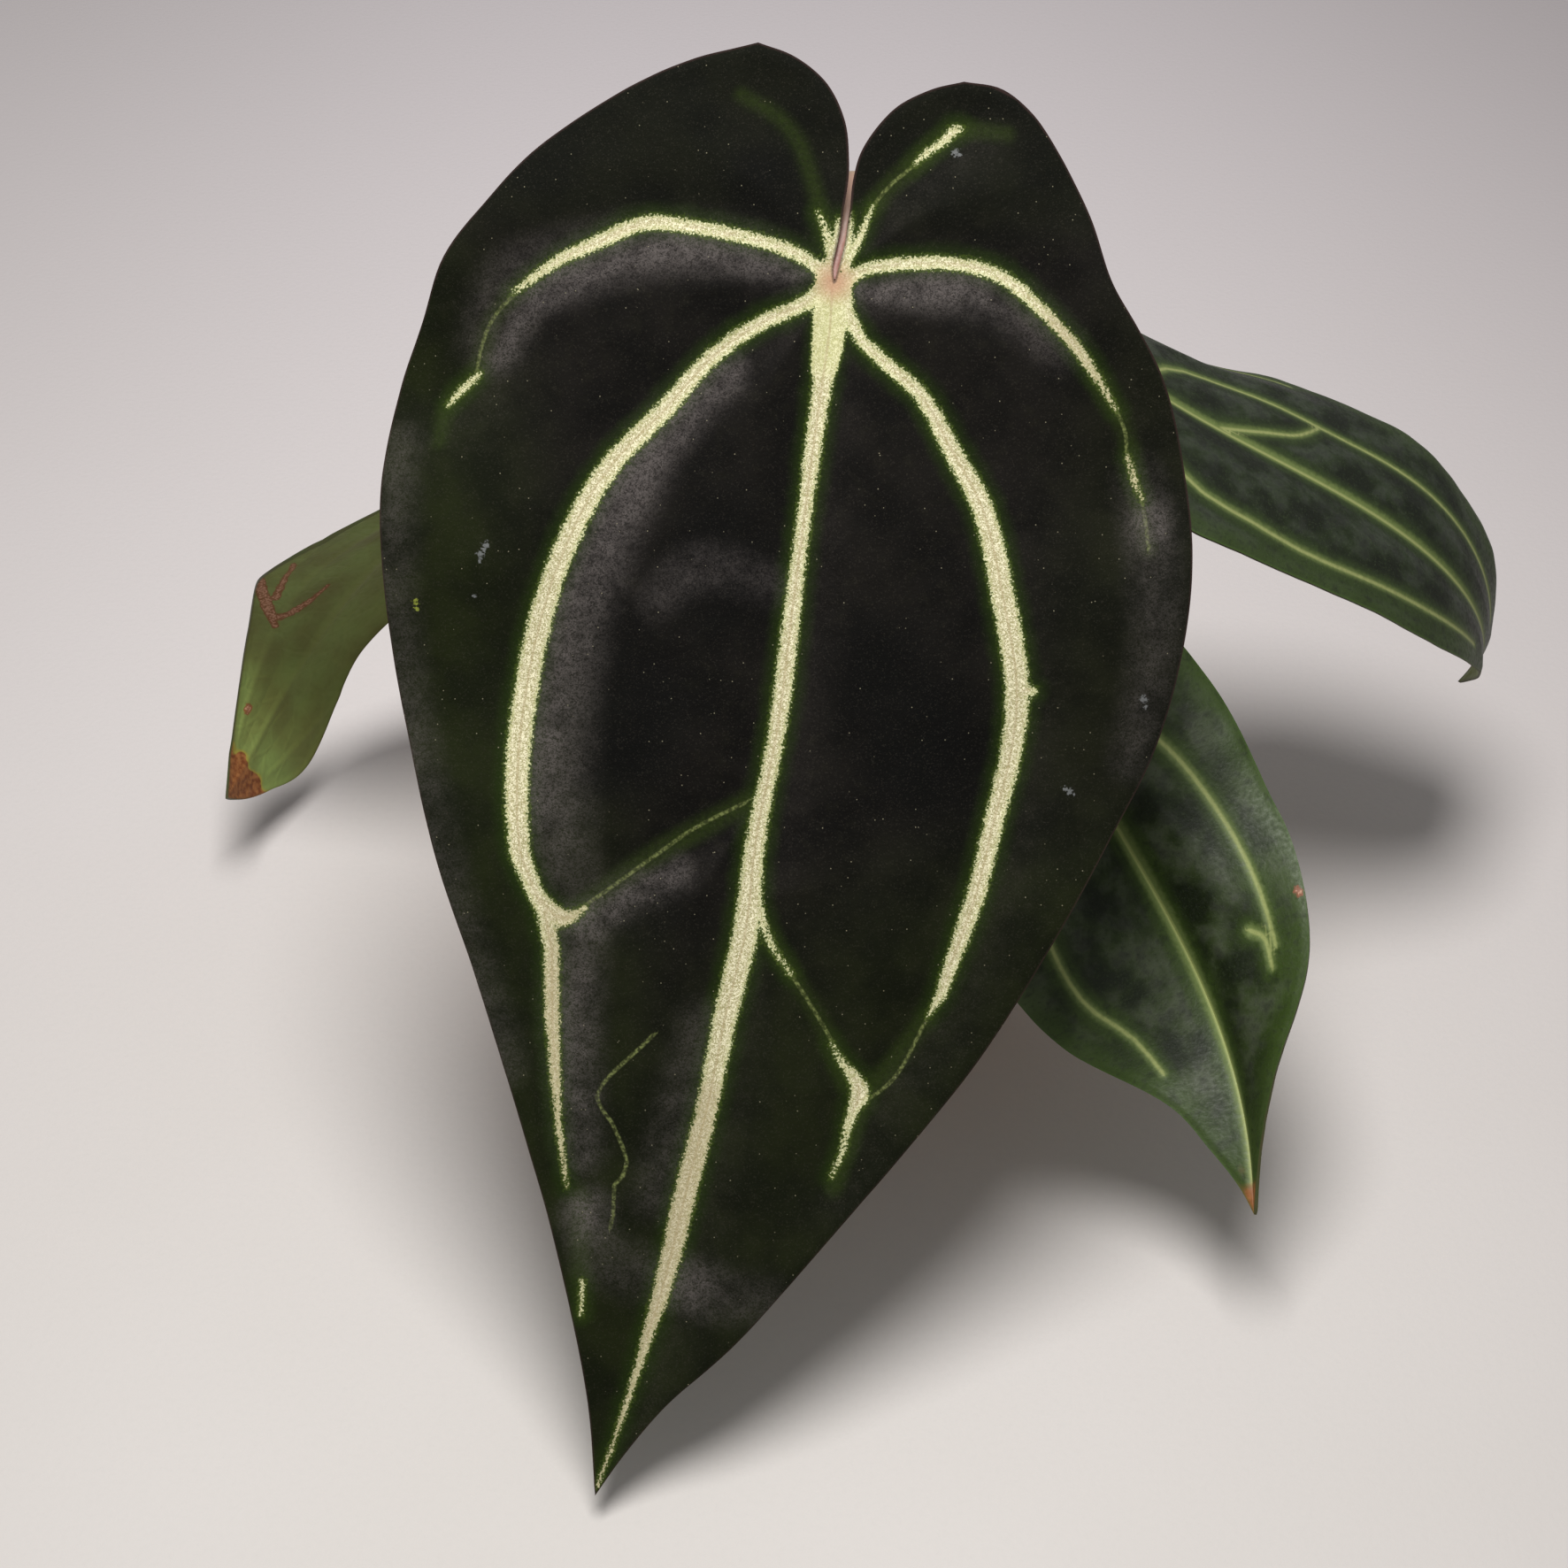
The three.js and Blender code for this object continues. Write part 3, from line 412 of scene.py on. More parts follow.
LEFT_VEINS = [
    *both_halves([(0.03, -0.02), (0.28, -0.12), (0.45, -0.26), (0.52, -0.42), (0.46, -0.58),
                  (0.33, -0.72), (0.16, -0.86)]),
    *both_halves([(0.04, 0.01), (0.3, 0.04), (0.58, 0), (0.76, -0.1), (0.84, -0.24), (0.8, -0.42)]),
    *LOBE_VEINS,
]
FULLNESS_AT = [-0.18, 0, 0.18, 0.34, 0.5, 0.66, 0.82, 1]


def heart(length, half, fullness, veins):
    def shares(points, across):
        return np.asarray(points, float) * [across, length]

    def filled(side, across):
        width = np.interp(-HEART[:, 1], FULLNESS_AT, [1, *fullness[side], 1])
        return HEART * np.column_stack([width * across, np.full(len(width), length)])

    left, right = half
    return dict(
        length=length,
        half_width=max(half),
        half=half,
        shoulder=(0.24, 0.24),
        outer=(filled(0, -left), filled(1, right)),
        inner=(shares(HEART_SINUS, -left), shares(HEART_SINUS, right)),
        midrib=[(0, 0), (0, -length / 2), (0, -length)],
        sinus_line=[(0, length / 4), (0, 0)],
        veins=[[(u * (left if u < 0 else right), v * length) for u, v in vein] for vein in veins],
    )


print("heart outline points:", len(HEART))

# %% [markdown]
# How each blade hangs: `heading` and `dip` point from the junction to the tip, and `roll` turns the
# face about that line. The blade bends along the midrib, sways and twists, and each half tilts up
# from the midrib by `fold` and rolls by `curl`. The petiole's `route` leads from the stem, and
# `crook` gives its last bends behind the sinus, as lengths back from the junction, below the face and,
# for the big leaf, to the side.

# %% How the leaves hang
LEAVES = {
    "leaf_front": dict(
        shape=FRONT, junction=(4, -22, 150), heading=-90, dip=-50, roll=0,
        bend=(0.0003, 0.0003), sway=(0, 0), twist=0, fold=(3, 3), curl=(-0.0034, -0.0034),
        wave=(1.5, 47, (0.4, 2.1)), crown=1.5, rib=1.3, petiole=(3.1, 2.1, 2.4, 1.2),
        crook=[(3, -2.8, 0.4), (7, -4.2, 1.3), (12, -6, 2.2), (16, -9, 2.9), (17.5, -14, 3.2),
               (15.5, -20, 3)],
        route=[(0, 2.5, 87), (0.8, 6.5, 101), (2.6, 7.5, 122)],
    ),
    "leaf_right": dict(
        shape=heart(109.6, (27.6, 37.1), ((1.05, 1.11, 0.92, 0.92, 0.94, 0.9),
                                          (0.78, 0.94, 0.98, 0.93, 1.02, 1.14)), RIGHT_VEINS),
        junction=(55.9, 24.1, 106.4), heading=-21.2, dip=-30.4, roll=12.7,
        bend=(-0.0106, 0.0369), sway=(0.0039, 0.0037), twist=-0.0052, fold=(5, 7.6),
        curl=(-0.0155, -0.0172), wave=(0.7, 31, (0, 1.4)), crown=1, rib=0.9,
        petiole=(2.6, 1.6, 1.9, 1.1), crook=[(3, -1.9), (8, -4.5)],
        route=[(2, 1.5, 84), (12, 8, 100), (27, 17, 113)],
    ),
    "leaf_low": dict(
        shape=heart(97.7, (37.9, 27.9), ((0.97, 0.98, 0.97, 0.95, 0.99, 0.73),
                                         (1.03, 0.96, 0.9, 0.99, 1.11, 1.01)), LOW_VEINS),
        junction=(38.1, -35.1, 84.7), heading=-24.1, dip=-67.8, roll=-20.4,
        bend=(-0.0175, -0.0066), sway=(0.0004, -0.0093), twist=-0.0143, fold=(31.4, 27.4),
        curl=(0.0001, -0.0271), wave=(0.9, 29, (2.2, 0.6)), crown=1.1, rib=0.9,
        petiole=(2.6, 1.6, 1.9, 1.1), crook=[(3, -1.9), (8, -4.5)],
        route=[(1.5, -2, 80), (9, -9, 95), (21, -20, 103)],
    ),
    "leaf_left": dict(
        shape=heart(115.9, (41.9, 25.7), ((0.97, 0.92, 0.83, 0.63, 0.5, 1.1),
                                          (0.77, 0.62, 0.91, 1.05, 0.93, 0.9)), LEFT_VEINS),
        junction=(-49.6, 30.8, 92.2), heading=192.2, dip=-47.6, roll=-53.9,
        bend=(-0.0189, 0.0497), sway=(-0.0145, 0.0248), twist=-0.0051, fold=(16.2, -11.8),
        curl=(-0.0034, 0.0017), wave=(0.7, 27, (1, 2.6)), crown=0.9, rib=0.9,
        petiole=(2.6, 1.6, 1.9, 1.1), crook=[(3, -1.9), (9, -4.5)],
        route=[(-2.5, 1.5, 81), (-12, 8, 97), (-27, 18, 106.5)],
    ),
}
print("leaves:", ", ".join(LEAVES))

# %% [markdown]
# The midrib is walked out from the junction in small steps, and carries three directions with it:
# along to the tip, across, and up from the face. Any flat point is then lifted off that spine.

# %% From the flat shape to the hanging one
SPINE_STEP = 1.5
LOBE_REACH = 0.35
CROWN_REACH = 7
RIB_WIDTH = 2.2
BLADE_THICKNESS = 0.85
MARGIN_THICKNESS = 0.45


def spine(leaf):
    """Heights v along the midrib, and for each its place, along, across and up, as twelve numbers."""
    length, bend, sway = leaf["shape"]["length"], leaf["bend"], leaf["sway"]
    heading, dip, roll = (math.radians(leaf[key]) for key in ("heading", "dip", "roll"))
    along = np.array([math.cos(dip) * math.cos(heading), math.cos(dip) * math.sin(heading), math.sin(dip)])
    across = np.cross((0, 0, 1), along)
    across /= np.linalg.norm(across)
    up = np.cross(along, across) * math.cos(roll) + across * math.sin(roll)
    first = (np.array(leaf["junction"], float), along, np.cross(up, along), up)

    def walk(reach, ds):
        stations = [first]
        for i in range(math.ceil(reach / abs(ds))):
            at, along, across, up = stations[-1]
            share = max((i + 0.5) * ds, 0) / length
            down = bend[0] + (bend[1] - bend[0]) * share
            side = sway[0] + (sway[1] - sway[0]) * share
            onward = along - down * ds * up + side * ds * across
            onward /= np.linalg.norm(onward)
            lifted = up + leaf["twist"] * ds * across
            lifted -= onward * (lifted @ onward)
            lifted /= np.linalg.norm(lifted)
            stations.append((at + (along + onward) * ds / 2, onward, np.cross(lifted, onward), lifted))
        return stations

    ahead = walk(length + 2 * SPINE_STEP, SPINE_STEP)
    behind = walk(LOBE_REACH * length, -SPINE_STEP)
    stations = np.array([np.concatenate(station) for station in behind[:0:-1] + ahead])
    heights = -SPINE_STEP * (np.arange(len(stations)) - (len(behind) - 1))
    return heights[::-1], stations[::-1]


def lift(leaf, flat, extra=0.0):
    """The upper face over flat points. Cells bulge between the veins, and the margins ripple."""
    shape = leaf["shape"]
    heights, stations = spine(leaf)
    line = np.vstack([along_curve(shape["sinus_line"], 12), along_curve(shape["midrib"], 40)[1:]])[::-1]
    u, v = flat.T
    at, _, across, up = (
        np.stack([np.interp(v, heights, stations[:, 3 * g + k]) for k in range(3)], 1) for g in range(4)
    )
    centre = np.interp(v, line[:, 1], line[:, 0])
    offset = u - centre
    half = (offset >= 0).astype(int)
    out = np.abs(offset)
    tilt = np.radians(leaf["fold"])[half]
    curl = np.array(leaf["curl"])[half]
    angle = tilt + curl * out
    reach = (np.sin(angle) - np.sin(tilt)) / curl
    rise = (np.cos(tilt) - np.cos(angle)) / curl
    height, length, phase = leaf["wave"]
    edge = (out / shape["half_width"]) ** 2
    rise += height * edge * np.sin(2 * np.pi * v / length + np.array(phase)[half])
    rise += leaf["crown"] * (1 - np.exp(-((vein_distance(leaf, flat) / CROWN_REACH) ** 2))) + extra
    return at + across * (centre + np.sign(offset) * reach)[:, None] + up * rise[:, None]


def vein_distance(leaf, flat):
    veins = [along_curve(leaf["shape"]["midrib"], 24)]
    veins += [along_curve(vein, 14) for vein in leaf["shape"]["veins"]]
    return -nearest_line([thin(vein) for vein in veins], flat)[0]


for name, leaf in LEAVES.items():
    tip = np.array([(0.0, -leaf["shape"]["length"])])
    print(name, "hangs down to", lift(leaf, tip).round(1)[0], "mm")

# %% [markdown]
# ## Blades
#
# A real blade is one thin sheet, about half a millimetre at the margin and thicker over its veins,
# which stand out beneath as ribs. Each half is a grid, fine enough for the cells to bulge, stretched
# between the midrib and the margin. The halves are welded, and a solidify modifier gives the sheet
# its thickness, which follows the ribs by vertex weight. It also gives the underside and the cut
# edge their own material slots.

# %% Building a blade
CROWDING = 1.15
INSIDE_CAD = 0.998
BAND_SUNK, MARGIN_SUNK, MARGIN_ROUNDED = 0.22, 0.25, 1.5
FLAT_BY_VEIN, THIN_RIM = 4, 6
SLOTS_OF_BLADE = 3


def half_blade(name, leaf, side, counts):
    """One flat half: rows run out to the margin from the sinus and the midrib, closer near these."""
    sinus_rows, rib_rows, columns = counts
    shape = leaf["shape"]
    inner, outer, shoulder = (shape[key][side] for key in ("inner", "outer", "shoulder"))
    inner = np.vstack([along_curve(inner, sinus_rows), along_curve(shape["midrib"], rib_rows)[1:]])
    outer = np.vstack([along_curve(outer, sinus_rows, 0, shoulder),
                       along_curve(outer, rib_rows, shoulder, 1)[1:]])
    share = (np.arange(columns + 1) / columns) ** CROWDING
    flat = inner[:, None] + (outer - inner)[:, None] * share[:, None]
    piece, row, column = grid(name, len(inner) - 1, columns)
    if side == 1:
        row = len(inner) - 1 - row
    flat = np.pad(flat[row, column] * INSIDE_CAD, ((0, 0), (0, 1)))
    layer = piece.data.attributes.new("flat", "FLOAT_VECTOR", "POINT")
    layer.data.foreach_set("vector", flat.astype(np.float32).ravel())
    return move_corners(piece, flat)


def flat_of(piece):
    values = np.empty(3 * len(piece.data.vertices), np.float32)
    piece.data.attributes["flat"].data.foreach_get("vector", values)
    return values.reshape(-1, 3)[:, :2].astype(float)


def margin_distance(shape, flat):
    edges = [shape[edge][side] for edge in ("outer", "inner") for side in (0, 1)]
    return -nearest_line([thin(along_curve(edge, 60)) for edge in edges], flat)[0]


def blade(name, leaf, counts, bands, pucker):
    """The face of a blade in its place, the flat place of each corner, and its full thickness."""
    piece = clean(join([half_blade(f"{name}_half{side}", leaf, side, counts) for side in (0, 1)], name))
    flat = flat_of(piece)
    shape = leaf["shape"]
    from_vein = vein_distance(leaf, flat)
    inside, signed = nearest_line(bands, flat)
    rim = margin_distance(shape, flat)
    free = 1 - np.exp(-((from_vein / FLAT_BY_VEIN) ** 2))
    uneven = pucker * free * (bumps(flat, 9, 1) + 0.6 * bumps(flat, 4, 2) - 0.3)
    uneven -= BAND_SUNK * step(inside, -0.8, 0.8)
    uneven -= MARGIN_SUNK * step(MARGIN_ROUNDED - rim, 0, MARGIN_ROUNDED)
    move_corners(piece, lift(leaf, flat, uneven))
    paint(piece, band_inside=inside, band_side=signed, rim=rim)

    from_midrib = nearest_line([thin(along_curve(shape["midrib"], 24))], flat)[0]
    main, side = (np.exp(-((distance / RIB_WIDTH) ** 2)) for distance in (from_midrib, from_vein))
    fade = np.clip(1 + flat[:, 1] / shape["length"], 0.15, 1)
    thickness = BLADE_THICKNESS + (MARGIN_THICKNESS - BLADE_THICKNESS) * (1 - step(rim, 0, THIN_RIM))
    thickness += leaf["rib"] * np.maximum(main, 0.6 * side) * fade
    full = BLADE_THICKNESS + leaf["rib"]
    group = piece.vertex_groups.new(name="thickness")
    for i, weight in enumerate(thickness / full):
        group.add([i], float(weight), "REPLACE")
    return piece, flat, full


def thicken(piece, full):
    """Gives the sheet its thickness, with slots for its face, underside and cut edge."""
    for _ in range(SLOTS_OF_BLADE):
        piece.data.materials.append(None)
    modify(piece, "SOLIDIFY", thickness=full * MM, offset=-1.0, use_even_offset=False,
           vertex_group="thickness", material_offset=1, material_offset_rim=2)
    return smooth(piece, 50)


front_leaf = LEAVES["leaf_front"]
front_bands = [along_curve(band, 30) for band in BANDS]
front, front_flat, front_full = blade("front_blade", front_leaf, (48, 246, 80), front_bands, 0.22)
print("front blade corners:", len(front_flat))

# %% [markdown]
# The big leaf's material needs to know more about each place on it: how near a fine vein is, where
# the painted sheen and the painted shade lie, and how far over to the greener left margin it is.

# %% Painting the big leaf's places
LIT_FROM = (-0.62, 0.78)
SLOPE_FULLY_LIT = 0.17
BULGE_REACH = 5


def stroke(lines, flat, soft):
    """1 inside the strokes, fading to 0 over this many millimetres outside them."""
    return step(nearest_line([along_curve(line, 12) for line in lines], flat)[0], -soft, soft * 0.3)


def bulge(leaf, flat):
    """How far the cells bulge at each flat point, from 0 at a vein to 1 far from it."""
    return 1 - np.exp(-((vein_distance(leaf, flat) / BULGE_REACH) ** 2))


def facing(leaf, flat, way, reach=0.8):
    """How much the bulging skin turns toward a flat direction, from 0 to 1."""
    slope = np.zeros(len(flat))
    for axis in (0, 1):
        off = np.zeros(2)
        off[axis] = reach
        slope -= way[axis] * (bulge(leaf, flat + off) - bulge(leaf, flat - off)) / (2 * reach)
    return np.clip(slope / SLOPE_FULLY_LIT, 0, 1)


u, v = front_flat.T
fine_inside, fine_side = nearest_line([along_curve(vein, 16) for vein in FINE_VEINS], front_flat)
lit = facing(front_leaf, front_flat, LIT_FROM)
web_line = thin([(-0.3, 0.5), (-0.8, -5), (-1.4, -12)], 3.4)
web = step(nearest_line([web_line], front_flat)[0], -2.4, 0.6) * step(-v, -3, 0) * step(20 + v, 0, 9)
green_left, green_right = step(-u - 0.25 * v, 42, 68), 0.45 * step(u - 0.25 * v, 34, 54)
green_lobes, green_tip = 0.5 * step(v, 2, 14), 0.8 * step(0.5 * u - v, 80, 112)
paint(
    front,
    fine_inside=fine_inside,
    fine_side=fine_side,
    # Painted sheen: grey strokes beside the veins, stronger where the bulging skin faces the lamp, and a
    # little wherever it does
    bloom=np.clip(stroke(SHEEN_STROKES, front_flat, 4.5) * (0.4 + 0.75 * lit) + 0.1 * lit, 0, 1),
    # Painted shade over a few cells, and over the lobes, which face the lamp more
    shade=np.maximum(stroke(SHADE, front_flat, 9), 0.6 * step(v, 3, 15)),
    glow=stroke(GLOW, front_flat, 1.8),
    dull=stroke(DULL, front_flat, 4),
    green=np.max([green_left, green_lobes, green_tip, green_right], axis=0),
    web=np.maximum(web, step(4.5 - np.hypot(u, v + 1), 0, 3.2)),
)
thicken(front, front_full)
print("front blade faces:", len(front.data.polygons))

# %% [markdown]
# The veins of the older leaves are narrow green lines instead of cream bands. The right leaf and the
# low leaf show their upper face, and the left leaf turned its underside to the camera. Its tip dried
# out, and a brown scar crosses it.

# %% The older leaves
OLD_COUNTS = (30, 147, 50)
MIDRIB_WIDTH, SIDE_VEIN_WIDTH = 1.9, 1.3
DRY_FROM = {"leaf_low": (0.93, 0.03), "leaf_left": (0.87, 0.02)}
SCARS = {
    "leaf_low": (0.8, [[(0.78, -0.535, 0.9), (0.79, -0.54, 0.9)]]),
    "leaf_left": (0.7, [
        [(0.93, -0.474, 2.4), (0.74, -0.533, 2.2), (0.59, -0.575, 2), (0.45, -0.611, 1)],
        [(0.49, -0.588, 1.6), (0.38, -0.57, 2.2), (0.29, -0.536, 1.4), (0.24, -0.497, 0.6)],
        [(0.62, -0.539, 1.4), (0.68, -0.487, 1), (0.83, -0.393, 0.6)],
        [(0.22, -0.795, 1.2), (0.22, -0.802, 1.2)],
    ]),
}


def vein_lines(shape):
    """The midrib and the side veins as lines that narrow toward their ends."""
    length = shape["length"]
    midrib = [(0, 0, MIDRIB_WIDTH), (0, -length * 0.5, MIDRIB_WIDTH * 0.8), (0, -length * 0.97, 0.3)]
    lines = [along_curve(midrib, 30)]
    for vein in shape["veins"]:
        width = np.linspace(SIDE_VEIN_WIDTH, 0.35, len(vein))
        lines.append(along_curve(np.column_stack([vein, width]), 20))
    return lines


def in_mm(shape, line):
    """Rows given in shares of the half width and of the length, as millimetres. Widths stay."""
    left, right = shape["half"]
    return [(u * (right if u > 0 else left), v * shape["length"], width) for u, v, width in line]


old_blades = {}
for name, short in (("leaf_right", "right_blade"), ("leaf_low", "low_blade"), ("leaf_left", "left_blade")):
    shape = LEAVES[name]["shape"]
    piece, flat, full = blade(short, LEAVES[name], OLD_COUNTS, vein_lines(shape), 0.2)
    if name in SCARS:
        dry_from, ragged = DRY_FROM[name]
        soft, scars = SCARS[name]
        toward_tip = ragged * bumps(flat, 3, 3) - flat[:, 1] / shape["length"]
        spot = stroke([in_mm(shape, scar) for scar in scars], flat, soft)
        paint(piece, dry=step(toward_tip, dry_from, dry_from + 0.03), spot=spot)
    old_blades[name] = thicken(piece, full)
print("older blades:", [len(piece.data.polygons) for piece in old_blades.values()])

# %% [markdown]
# ## Petioles
#
# Each petiole is round, wider where it leaves the stem and again at the geniculum, the joint just
# before the blade that turns the leaf to the light. A path primitive takes the route's points, and
# its bevel makes the round section.

# %% Building the petioles
END_BELOW_FACE = 1.5
PETIOLE_INSIDE_CAD = 0.985
FLARE_REACH, SWELLING_AT, SWELLING_REACH, END_REACH = 7, 9, 5, 2.5


def tube(name, points, radii):
    """A round tube through points in mm, of the given radius at each."""
    bpy.ops.curve.primitive_nurbs_path_add()
    piece = named(bpy.context.object, name)
    curve = piece.data
    curve.splines.clear()
    line = curve.splines.new("POLY")
    line.points.add(len(points) - 1)
    line.points.foreach_set("co", np.column_stack([np.asarray(points) * MM, np.ones(len(points))]).ravel())
    line.points.foreach_set("radius", np.asarray(radii, float))
    curve.dimensions = "3D"
    curve.bevel_depth = MM
    curve.bevel_resolution = 4
    curve.use_fill_caps = True
    activate(piece)
    bpy.ops.object.convert(target="MESH")
    return smooth(outward(clean(named(bpy.context.object, name))), 60)


def petiole(name, leaf):
    """The petiole of a leaf, with the distance of each corner from both of its ends."""
    heights, stations = spine(leaf)
    at, along, across, up = (np.array([np.interp(0, heights, stations[:, 3 * g + k]) for k in range(3)])
                             for g in range(4))
    bends = [at - back * along + below * up + sum(side) * across for back, below, *side in leaf["crook"]]
    line = along_curve([*leaf["route"], *bends[::-1], at - END_BELOW_FACE * up], 110)
    from_base = np.r_[0, np.cumsum(np.linalg.norm(np.diff(line, axis=0), axis=1))]
    from_end = from_base[-1] - from_base
    base, middle, swollen, end = leaf["petiole"]
    radius = middle + (base - middle) * np.exp(-from_base / FLARE_REACH)
    radius += (swollen - middle) * np.exp(-(((from_end - SWELLING_AT) / SWELLING_REACH) ** 2))
    radius -= (middle - end) * np.exp(-from_end / END_REACH)
    piece = tube(name, line, radius * PETIOLE_INSIDE_CAD)
    nearest = np.array([np.argmin(((line - place) ** 2).sum(1)) for place in corners_of(piece)])
    paint(piece, from_base=from_base[nearest], from_end=from_end[nearest])
    return piece


petioles = {name: petiole(name.replace("leaf", "petiole"), leaf) for name, leaf in LEAVES.items()}
print("petioles:", [piece.name for piece in petioles.values()])

# %% [markdown]
# ## Stem
#
# The stem is a short stub. Old leaves left ring scars on it, and dry papery bracts still wrap it.
# It is a grid rolled into a tube, so that the scars can slant round it.

# %% Building the stem
STEM_RADIUS, STEM_FOOT, MIX_LEVEL, STEM_TIP = 6.5, 55, 73, 94
SCAR_SPACING, SCAR_DEPTH = 4.2, 0.42
STEM_TAPER, STEM_ROUNDED = 1.2, 2.4
STEM_ROWS, STEM_SIDES = 90, 48
BRACT_RADIUS, BRACT_THICKNESS = 6.9, 0.3
BRACTS = [(0.4, 76, 17, 2.6), (2.6, 75, 15, 2.0), (4.5, 77, 18, 2.4)]
ROOTS = [
    ([(5, -3, 79), (10, -6, 78.5), (15, -8, 76), (17, -9, 71)], (1.5, 1.2)),
    ([(-4, -4.5, 78), (-9, -9, 78.5), (-12, -14, 75), (-13, -16, 70)], (1.6, 1.2)),
    ([(-4, 5, 80), (-8, 11, 79), (-9, 17, 75), (-9, 19, 70)], (1.4, 1.1)),
]


def about_axis(radius, angle, z):
    return np.column_stack([radius * np.cos(angle), radius * np.sin(angle), z])


stem, row, column = grid("stem_stub", STEM_ROWS, STEM_SIDES)
turn = 2 * np.pi * column / STEM_SIDES
z = STEM_FOOT + (STEM_TIP - STEM_FOOT) * row / STEM_ROWS
above_mix = np.clip((z - MIX_LEVEL) / (STEM_TIP - MIX_LEVEL), 0, 1)
ring = np.sin(2 * np.pi * z / SCAR_SPACING + turn)
ring = np.where(ring > 0, ring, -np.abs(ring) ** 0.5)
radius = STEM_RADIUS - STEM_TAPER * above_mix + SCAR_DEPTH * ring * (z > MIX_LEVEL)
radius *= np.clip((STEM_TIP - z) / STEM_ROUNDED, 0, 1) ** 0.5 * (row > 0)
stem = smooth(outward(clean(move_corners(stem, about_axis(radius, turn, z)))), 50)


def bract(name, angle, foot, height, lean):
    """A dry leaf base: a pointed sheet that wraps part of the stem and leans out at its top."""
    rows, columns = 20, 12
    piece, row, column = grid(name, rows, columns)
    up, side = row / rows, column / columns * 2 - 1
    turn = angle + side * np.radians(62) * (1 - up**2.2)
    radius = BRACT_RADIUS + 0.5 * side**2 + lean * up**2 + 0.25 * np.sin(9 * side + 5 * up)
    move_corners(piece, about_axis(radius, turn, foot + height * up))
    return smooth(modify(clean(piece), "SOLIDIFY", thickness=BRACT_THICKNESS * MM, offset=1.0), 50)


bracts = join([bract(f"bract_{i}", *place) for i, place in enumerate(BRACTS)], "bracts")
roots = join([tube(f"root_{i}", along_curve(route, 20), np.linspace(*thick, 21))
              for i, (route, thick) in enumerate(ROOTS)], "roots")
print("stem, bracts and roots built")

# %% [markdown]
# ## Pot
#
# A plain clay pot is pressed or thrown on a wheel, so it is a profile turned about one axis. A circle
# is extruded and resized ring by ring. The drain holes are cut by boolean modifiers.

# %% Building the pot
POT_SIDES = 96
HOLES, HOLE_RADIUS, HOLE_OUT, DRILL_LENGTH = 4, 4, 19, 20


def turned(name, profile, segments):
    """A body of revolution from rings of radius and height, closed in the middle at both ends."""
    radius, z = profile[0]
    bpy.ops.mesh.primitive_circle_add(vertices=segments, radius=radius * MM, location=(0, 0, z * MM))
    bpy.ops.object.transform_apply(location=True, rotation=True, scale=True)
    piece = named(bpy.context.object, name)
    bpy.ops.object.mode_set(mode="EDIT")
    bpy.ops.mesh.select_all(action="SELECT")
    for next_radius, next_z in profile[1:]:
        bpy.ops.mesh.extrude_region_move(TRANSFORM_OT_translate={"value": (0, 0, (next_z - z) * MM)})
        share = next_radius / radius
        bpy.ops.transform.resize(value=(share, share, 1), center_override=(0, 0, 0))
        radius, z = next_radius, next_z
    bpy.ops.mesh.merge(type="CENTER")
    bpy.ops.mesh.select_all(action="DESELECT")
    bpy.ops.mesh.select_mode(type="EDGE")
    bpy.ops.mesh.select_non_manifold()
    bpy.ops.mesh.merge(type="CENTER")
    bpy.ops.mesh.select_mode(type="VERT")
    bpy.ops.object.mode_set(mode="OBJECT")
    return outward(piece)


pot_profile = [
    (1, 0), (14, 0), (30.4, 0), (31.4, 0.25), (32, 1), (34.9, 17), (37.9, 33), (40.9, 49), (43.7, 63),
    (44, 64), (45.3, 64.4), (46.4, 65), (46.8, 66), (47.1, 74), (47.4, 81.5), (47.1, 83), (46.3, 83.8),
    (45.6, 84), (42.6, 84), (41.6, 83.7), (41, 82.8), (40.4, 80), (39.3, 73), (33.6, 40), (27.9, 7),
    (27.2, 6), (14, 6), (1, 6),
]
pot = turned("clay_pot", pot_profile, POT_SIDES)
for i in range(HOLES):
    turn = math.pi / 4 + i * 2 * math.pi / HOLES
    place = (HOLE_OUT * MM * math.cos(turn), HOLE_OUT * MM * math.sin(turn), 3 * MM)
    bpy.ops.mesh.primitive_cylinder_add(vertices=24, radius=HOLE_RADIUS * MM, depth=DRILL_LENGTH * MM,
                                        location=place)
    drill = bpy.context.object
    modify(pot, "BOOLEAN", operation="DIFFERENCE", object=drill, solver="EXACT")
    bpy.data.objects.remove(drill)
smooth(clean(pot), 35)
print("pot faces:", len(pot.data.polygons))

# %% [markdown]
# ## Bark mix
#
# Growers pot these plants in open bark with some white perlite. Below, the mix is one solid body
# that fills the pot. On top lie loose chips: bevelled blocks, each knocked out of shape in its own way.

# %% Building the mix
CHIPS, GRITS = 230, 55
BED_REACH, BED_TOP = 38.6, 70
SCATTER, WALL_SLOPE = 38.5, 0.17
MISSHAPEN, TIPPED, SUNK_IN_BED = 0.12, 0.32, 0.12
mix_profile = [(1, 6.4), (14, 6.4), (26.8, 6.4), (33, 40), (BED_REACH, BED_TOP), (36, 70.8), (30, 71),
               (24, 71), (18, 71), (12, 71), (7, 71), (1, 71)]
mix = smooth(turned("bark_bed", mix_profile, 64), 35)
draw = np.random.default_rng(11)


